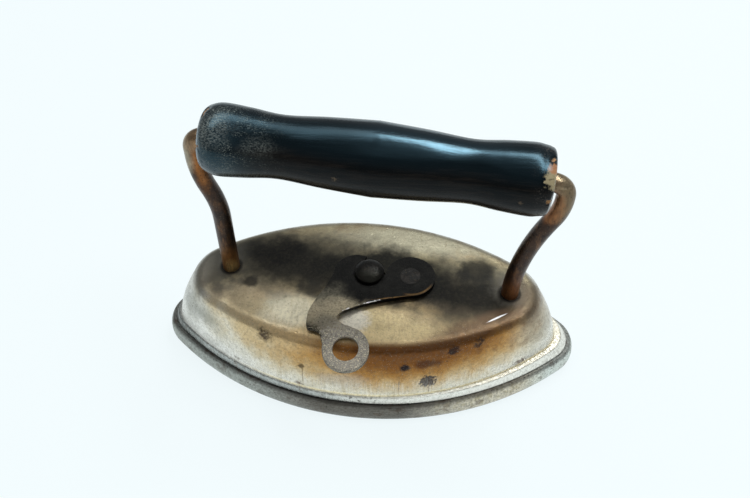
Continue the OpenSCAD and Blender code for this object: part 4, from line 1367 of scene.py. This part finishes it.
@dataclass
class Rod:
    """The bent rod: two legs, two tight bends and the straight through the grip."""

    hood: Hood
    lean_z: float = 42.0
    left_hook_r: float = 3.0
    right_hook_r: float = 3.5
    left_neck: float = 2.4
    right_neck: float = 0.6
    curve_share: float = 0.794
    tilt: float = 3.2
    grip_len: float = 72.5
    grip_z: float = 64.4
    grip_shift: float = 2.5
    left_in: float = 0.66
    right_out_of_grip: float = 0.2
    end_z: float = 17.65
    sides: int = 40

    def axis(self, d: float) -> Vector:
        """A point on the grip's axis in the handle's plane, by its distance from the middle."""
        t = math.radians(self.tilt)
        return Vector((self.grip_shift + d * math.cos(t), 0, self.grip_z - d * math.sin(t)))

    @staticmethod
    def arc(centre: Vector, r: float, start: float, end: float, steps: int) -> list[Vector]:
        """Points of an arc in the handle's plane, without its first.

        Args:
            centre: its middle.
            r: its radius.
            start: its first angle in degrees.
            end: its last angle.
            steps: its segments.

        Returns:
            The points after the first one.
        """
        run = []
        for i in range(1, steps + 1):
            a = math.radians(start + (end - start) * i / steps)
            run.append(centre + Vector((r * math.cos(a), 0, r * math.sin(a))))
        return run

    def half(self, left: bool) -> list[Vector]:
        """The bar's middle line from a foot's seat to where its bend meets the straight.

        Args:
            left: the left leg, otherwise the right one.

        Returns:
            Its points in the handle's plane.
        """
        t = math.radians(self.tilt)
        square = Vector((math.sin(t), 0, math.cos(t)))
        seat = self.hood.seat_z
        if left:
            foot, r = self.hood.left_foot, self.left_hook_r
            tangent = self.axis(self.left_in - self.grip_len / 2)
            hook = tangent - square * r
            out = r - hook.x - foot
            rise = hook.z - self.left_neck - self.lean_z
            turn = 2 * math.atan(out / rise)
            curve = rise / math.sin(turn) / 2
            deg = math.degrees(turn)
            run = [Vector((-foot, 0, seat + (self.lean_z - seat) * k / 8)) for k in range(9)]
            run += self.arc(Vector((-foot - curve, 0, self.lean_z)), curve, 0, deg, 14)
            run += self.arc(Vector((-foot - out + curve, 0, self.lean_z + rise)), curve,
                            180 + deg, 180, 14)
            run.append(hook + Vector((-r, 0, 0)))
            run += self.arc(hook, r, 180, 90 - self.tilt, 16)
            return run
        foot, r = self.hood.right_foot, self.right_hook_r
        tangent = self.axis(self.right_out_of_grip + self.grip_len / 2)
        hook = tangent - square * r
        out = hook.x + r - foot
        rise = hook.z - self.right_neck - seat
        turn = 2 * math.atan(out / rise)
        deg = math.degrees(turn)
        low = self.curve_share * rise / math.sin(turn)
        back = (1 - self.curve_share) * rise / math.sin(turn)
        run = [Vector((foot, 0, seat))]
        run += self.arc(Vector((foot + low, 0, seat)), low, 180, 180 - deg, 26)
        run += self.arc(Vector((foot + out - back, 0, seat + rise)), back, -deg, 0, 14)
        run.append(hook + Vector((r, 0, 0)))
        run += self.arc(hook, r, 0, 90 - self.tilt, 16)
        return run

    def stations(self) -> list[tuple[Vector, float]]:
        """The whole middle line with the bar's radius at each point, from end to end."""
        left, right = self.half(True), self.half(False)
        rod, tenon, over = self.hood.rod_d / 2, self.hood.tenon_d / 2, self.hood.tenon_d * 0.8
        seat, step = self.hood.seat_z, 0.01

        def foot(x: float) -> list[tuple[Vector, float]]:
            """A leg's end up from its riveted-over disc: the tenon and the start of the bar."""
            heights = [(self.end_z, over - 0.12), (self.end_z + 0.12, over),
                       (self.end_z + 0.68, over), (self.end_z + 0.8, over - 0.12),
                       (self.end_z + 0.8 + step, tenon), (seat - step, tenon),
                       (seat, rod - 0.12), (seat + 0.12, rod)]
            return [(Vector((x, 0, z)), r) for z, r in heights]

        middle = [left[-1].lerp(right[-1], k / 12) for k in range(1, 12)]
        run = left[1:] + middle + right[:0:-1]
        first, last = foot(-self.hood.left_foot), foot(self.hood.right_foot)
        return first + [(p, rod) for p in run] + last[::-1]

    def piece(self, bar: Tree, finish: Material) -> Piece:
        """Sweeps the rod and turns it to the handle's place."""
        stations = self.stations()
        line = line_mesh("handle_rod_bent", [p for p, _ in stations])
        thick = line.attributes.new("bar_radius", "FLOAT", "POINT")
        thick.data.foreach_set("value", [r * MM for _, r in stations])
        piece = grown("handle_rod_bent", line, bar, finish, {"Sides": self.sides})
        piece.data.transform(Matrix.Rotation(math.radians(-self.hood.yaw), 4, "Z"))
        return smoothed(outward(piece), 40.0)


@dataclass
class Grip:
    """The turned wooden grip, with a swell near each end and one in the middle."""

    rod: Rod
    d: float = 15.9
    bore_r: float = 2.13
    flare: float = 0.82
    turns: int = 128
    chip_depth: float = 0.9
    chip_reach: float = 2.6
    chip_scale: float = 420.0
    chip_seed: float = 4.0
    body_shares: Shares = ((0.12, 0.962), (0.27, 0.918), (0.46, 0.84), (0.72, 0.93), (1, 1))
    left_shares: Shares = ((0, 0.64), (0.014, 0.77), (0.05, 0.89))
    right_shares: Shares = ((0, 0.8), (0.008, 0.86), (0.025, 0.9), (0.06, 0.935))

    def side(self, end_shares: Shares) -> list[Vector]:
        """Half of the outline, as a smooth run of points.

        Args:
            end_shares: the outline near the end, as shares of the half length and the radius.

        Returns:
            The run from the bore's mouth over the end's rim to the middle.
        """
        half = self.rod.grip_len / 2
        shares = end_shares + self.body_shares
        knots = [Vector((r * self.d / 2, 0, (s - 1) * half)) for s, r in shares]
        run = []
        for i in range(len(knots) - 1):
            before, after = knots[max(i - 1, 0)], knots[min(i + 2, len(knots) - 1)]
            m1, m2 = (knots[i + 1] - before) / 2, (after - knots[i]) / 2
            for k in range(8):
                t = k / 8
                run.append(knots[i] * (2 * t**3 - 3 * t**2 + 1) + m1 * (t**3 - 2 * t**2 + t)
                           + knots[i + 1] * (3 * t**2 - 2 * t**3) + m2 * (t**3 - t**2))
        mouth = [Vector((self.bore_r, 0, -half + self.flare)),
                 Vector((self.bore_r + 0.5, 0, -half + self.flare * 0.7)),
                 Vector((self.bore_r + 2 * self.flare * 0.9, 0, -half))]
        rim = [mouth[-1].lerp(run[0], k / 4) for k in range(1, 4)]
        return mouth + rim + run + [knots[-1]]

    def piece(self, lathe: Tree, finish: Material) -> Piece:
        """Turns the grip with its bore, and lays it on the rod."""
        half = self.rod.grip_len / 2
        run = self.side(self.left_shares)
        mirrored = [Vector((p.x, 0, -p.z)) for p in self.side(self.right_shares)[-2::-1]]
        bore = [Vector((self.bore_r, 0, (half - self.flare) * (1 - 2 * k / 24)))
                for k in range(1, 24)]
        line = line_mesh("grip_turned", run + mirrored + bore, closed=True)
        piece = grown("grip_turned", line, lathe, finish, {
            "Turns": self.turns, "Half length": half * MM, "Chip depth": self.chip_depth * MM,
            "Chip reach": self.chip_reach * MM, "Chip size": self.chip_scale,
            "Seed": self.chip_seed})
        place = (Matrix.Rotation(math.radians(-self.rod.hood.yaw), 4, "Z")
                 @ Matrix.Translation(Vector((self.rod.grip_shift, 0, self.rod.grip_z)) * MM)
                 @ Matrix.Rotation(math.radians(90 + self.rod.tilt), 4, "Y"))
        piece.data.transform(place)
        return smoothed(outward(piece), 50.0)

    def build(self, lathe: Tree) -> None:
        """Builds, dresses and places the grip."""
        grip = self.piece(lathe, EbonisedWood().material())
        ride(grip, "grip", "grip_wood", "wooden_grip")


@dataclass
class Latch:
    """The flat hook latch, with its edges eased as a pressed plate's are."""

    weld: float = 0.004
    flat_degrees: float = 0.6
    ease: float = 0.14
    ease_steps: int = 3
    eased_degrees: float = 50.0

    def build(self, nodes: dict[str, Piece]) -> None:
        """Copies the plate's shape, eases its edges and dresses it."""
        shape = bmesh.new()
        shape.from_mesh(nodes["latch_plate"].data)
        bmesh.ops.remove_doubles(shape, verts=shape.verts, dist=self.weld * MM)
        bmesh.ops.dissolve_limit(shape, angle_limit=math.radians(self.flat_degrees),
                                 verts=shape.verts, edges=shape.edges)
        piece = piece_of("latch_hook", shape)
        ease = piece.modifiers.new("eased edges", "BEVEL")
        ease.width, ease.segments = self.ease * MM, self.ease_steps
        ease.limit_method, ease.angle_limit = "ANGLE", math.radians(self.eased_degrees)
        smoothed(settled(piece), 34.0)
        dress(piece, BluedPlate().material())
        ride(piece, "latch", "latch_steel", "latch_plate")


@dataclass(frozen=True)
class Lamp:
    """A soft rectangular lamp that points at the iron: its place and size in mm, and its watts."""

    name: str
    at: Point
    size: tuple[float, float]
    watts: float


@dataclass
class Studio:
    """A pale floor, large soft lights and the camera.

    Attributes:
        eye: the camera's place in mm.
        pitch: how far it looks down, in degrees.
        heading: how far it looks to the right of straight on.
        roll: its turn about its own axis.
        lens: focal length in mm on a 36 mm wide sensor.
        floor_colour: the card's own colour.
        glow_colour: what it glows with, and the colour of the wall behind it.
        glow_share: how much of it is glow to what sees it.
        floor_half: half the side of the floor in mm.
        floor_drop: how far it lies below the sole, in mm.
        room_colour: linear colour of the light from all round.
        room_level: strength of that light.
        lamps: the lamps.
    """

    eye: Point = (15.09, -134.15, 192.84)
    pitch: float = 49.35
    heading: float = -5.42
    roll: float = -0.16
    lens: float = 43.2
    floor_colour: str = "#F4F9FB"
    glow_colour: str = "#F3FCFE"
    glow_share: float = 0.91
    floor_half: float = 3000.0
    floor_drop: float = 0.02
    room_colour: tuple[float, float, float] = (0.93, 0.97, 1.0)
    room_level: float = 0.25
    lamps: tuple[Lamp, ...] = (
        Lamp("softbox", (215.0, 120.0, 560.0), (520.0, 130.0), 3.15),
        Lamp("fill", (-190.0, 160.0, 600.0), (600.0, 230.0), 1.3),
        Lamp("front card", (-40.0, -420.0, 430.0), (680.0, 420.0), 0.2),
    )

    def camera(self) -> None:
        """Places the camera and makes it the scene's own."""
        p, a, o = (math.radians(v) for v in (self.pitch, self.heading, self.roll))
        ahead = Vector((math.sin(a) * math.cos(p), math.cos(a) * math.cos(p), -math.sin(p)))
        side = Vector((math.cos(a), -math.sin(a), 0))
        up = side.cross(ahead)
        right = side * math.cos(o) + up * math.sin(o)
        top = up * math.cos(o) - side * math.sin(o)
        data = bpy.data.cameras.new("camera")
        data.lens, data.sensor_width, data.clip_start = self.lens, 36.0, 0.01
        camera = linked("camera", data)
        turn = Matrix((right, top, -ahead)).transposed().to_4x4()
        camera.matrix_world = Matrix.Translation(Vector(self.eye) * MM) @ turn
        bpy.context.scene.camera = camera

    def floor(self) -> None:
        """Lays the pale floor, which shows the object's shadow."""
        shape = bmesh.new()
        bmesh.ops.create_grid(shape, x_segments=8, y_segments=8, size=self.floor_half * MM,
                              matrix=Matrix.Translation((0, 0, -self.floor_drop * MM)))
        floor = piece_of("floor", shape)
        dress(floor, self.card())
        floor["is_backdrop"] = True

    def card(self) -> Material:
        """Matt white card: it keeps the shadow faint, as on an over-lit sheet, by glowing a little
        for what sees it, and lights the object only as card does."""
        card = bpy.data.materials.new("matt white card")
        tree = emptied(card)
        matt = add(tree, "ShaderNodeBsdfDiffuse", {"Color": linear(self.floor_colour)})
        glow = add(tree, "ShaderNodeEmission", {"Color": linear(self.glow_colour), "Strength": 1.0})
        ray = add(tree, "ShaderNodeLightPath")
        seen = ray.outputs["Is Camera Ray"]
        for kind in ("Is Glossy Ray", "Is Transmission Ray"):
            seen = add(tree, "ShaderNodeMath", {"Value": seen, "Value_001": ray.outputs[kind]},
                       operation="MAXIMUM")
        share = add(tree, "ShaderNodeMath", {"Value": seen, "Value_001": self.glow_share},
                    operation="MULTIPLY")
        both = add(tree, "ShaderNodeMixShader", {"Fac": share, "Shader": matt, "Shader_001": glow})
        out = add(tree, "ShaderNodeOutputMaterial", {"Surface": both})
        out.is_active_output = True
        return card

    def lights(self) -> None:
        """Hangs the lamps and sets a dim cool room, whose wall shows as pale as the floor."""
        for lamp in self.lamps:
            data = bpy.data.lights.new(lamp.name, "AREA")
            data.shape = "RECTANGLE"
            data.size, data.size_y = (side * MM for side in lamp.size)
            data.energy = lamp.watts
            data.color = DAYLIGHT
            place = Vector(lamp.at) * MM
            linked(lamp.name, data).matrix_world = (
                Matrix.Translation(place) @ (-place).to_track_quat("-Z", "Y").to_matrix().to_4x4())
        world = bpy.data.worlds.new("room")
        tree = emptied(world)
        room = add(tree, "ShaderNodeBackground", {
            "Color": (*self.room_colour, 1.0), "Strength": self.room_level})
        card = add(tree, "ShaderNodeBackground", {"Color": linear(self.glow_colour)})
        ray = add(tree, "ShaderNodeLightPath").outputs["Is Camera Ray"]
        both = add(tree, "ShaderNodeMixShader", {"Fac": ray, "Shader": room, "Shader_001": card})
        add(tree, "ShaderNodeOutputWorld", {"Surface": both})
        bpy.context.scene.world = world

    def build(self) -> None:
        """Builds the whole studio."""
        self.camera()
        self.floor()
        self.lights()
        bpy.context.scene.view_settings.view_transform = "Standard"


def as_list(box: object) -> list | float:
    """A box or vector as plain lists of numbers."""
    if isinstance(box, (float, int)):
        return float(box)
    return [as_list(part) for part in box]


def main() -> None:
    """Builds the iron and its studio in order."""
    logging.basicConfig(level=logging.INFO, format="%(name)s: %(message)s")
    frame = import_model()
    cad_box = as_list(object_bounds())
    nodes = frame["nodes"]
    Studio().build()
    profile = Profile()
    lathe, bar = turning_tree(), bar_tree()
    Core(profile).build(lathe)
    hood = Hood(profile)
    hood.build(nodes, bar, lathe)
    Grip(Rod(hood)).build(lathe)
    Latch().build(nodes)
    {"cad": cad_box, "visual": as_list(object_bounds())}


if __name__ == "__main__":
    main()
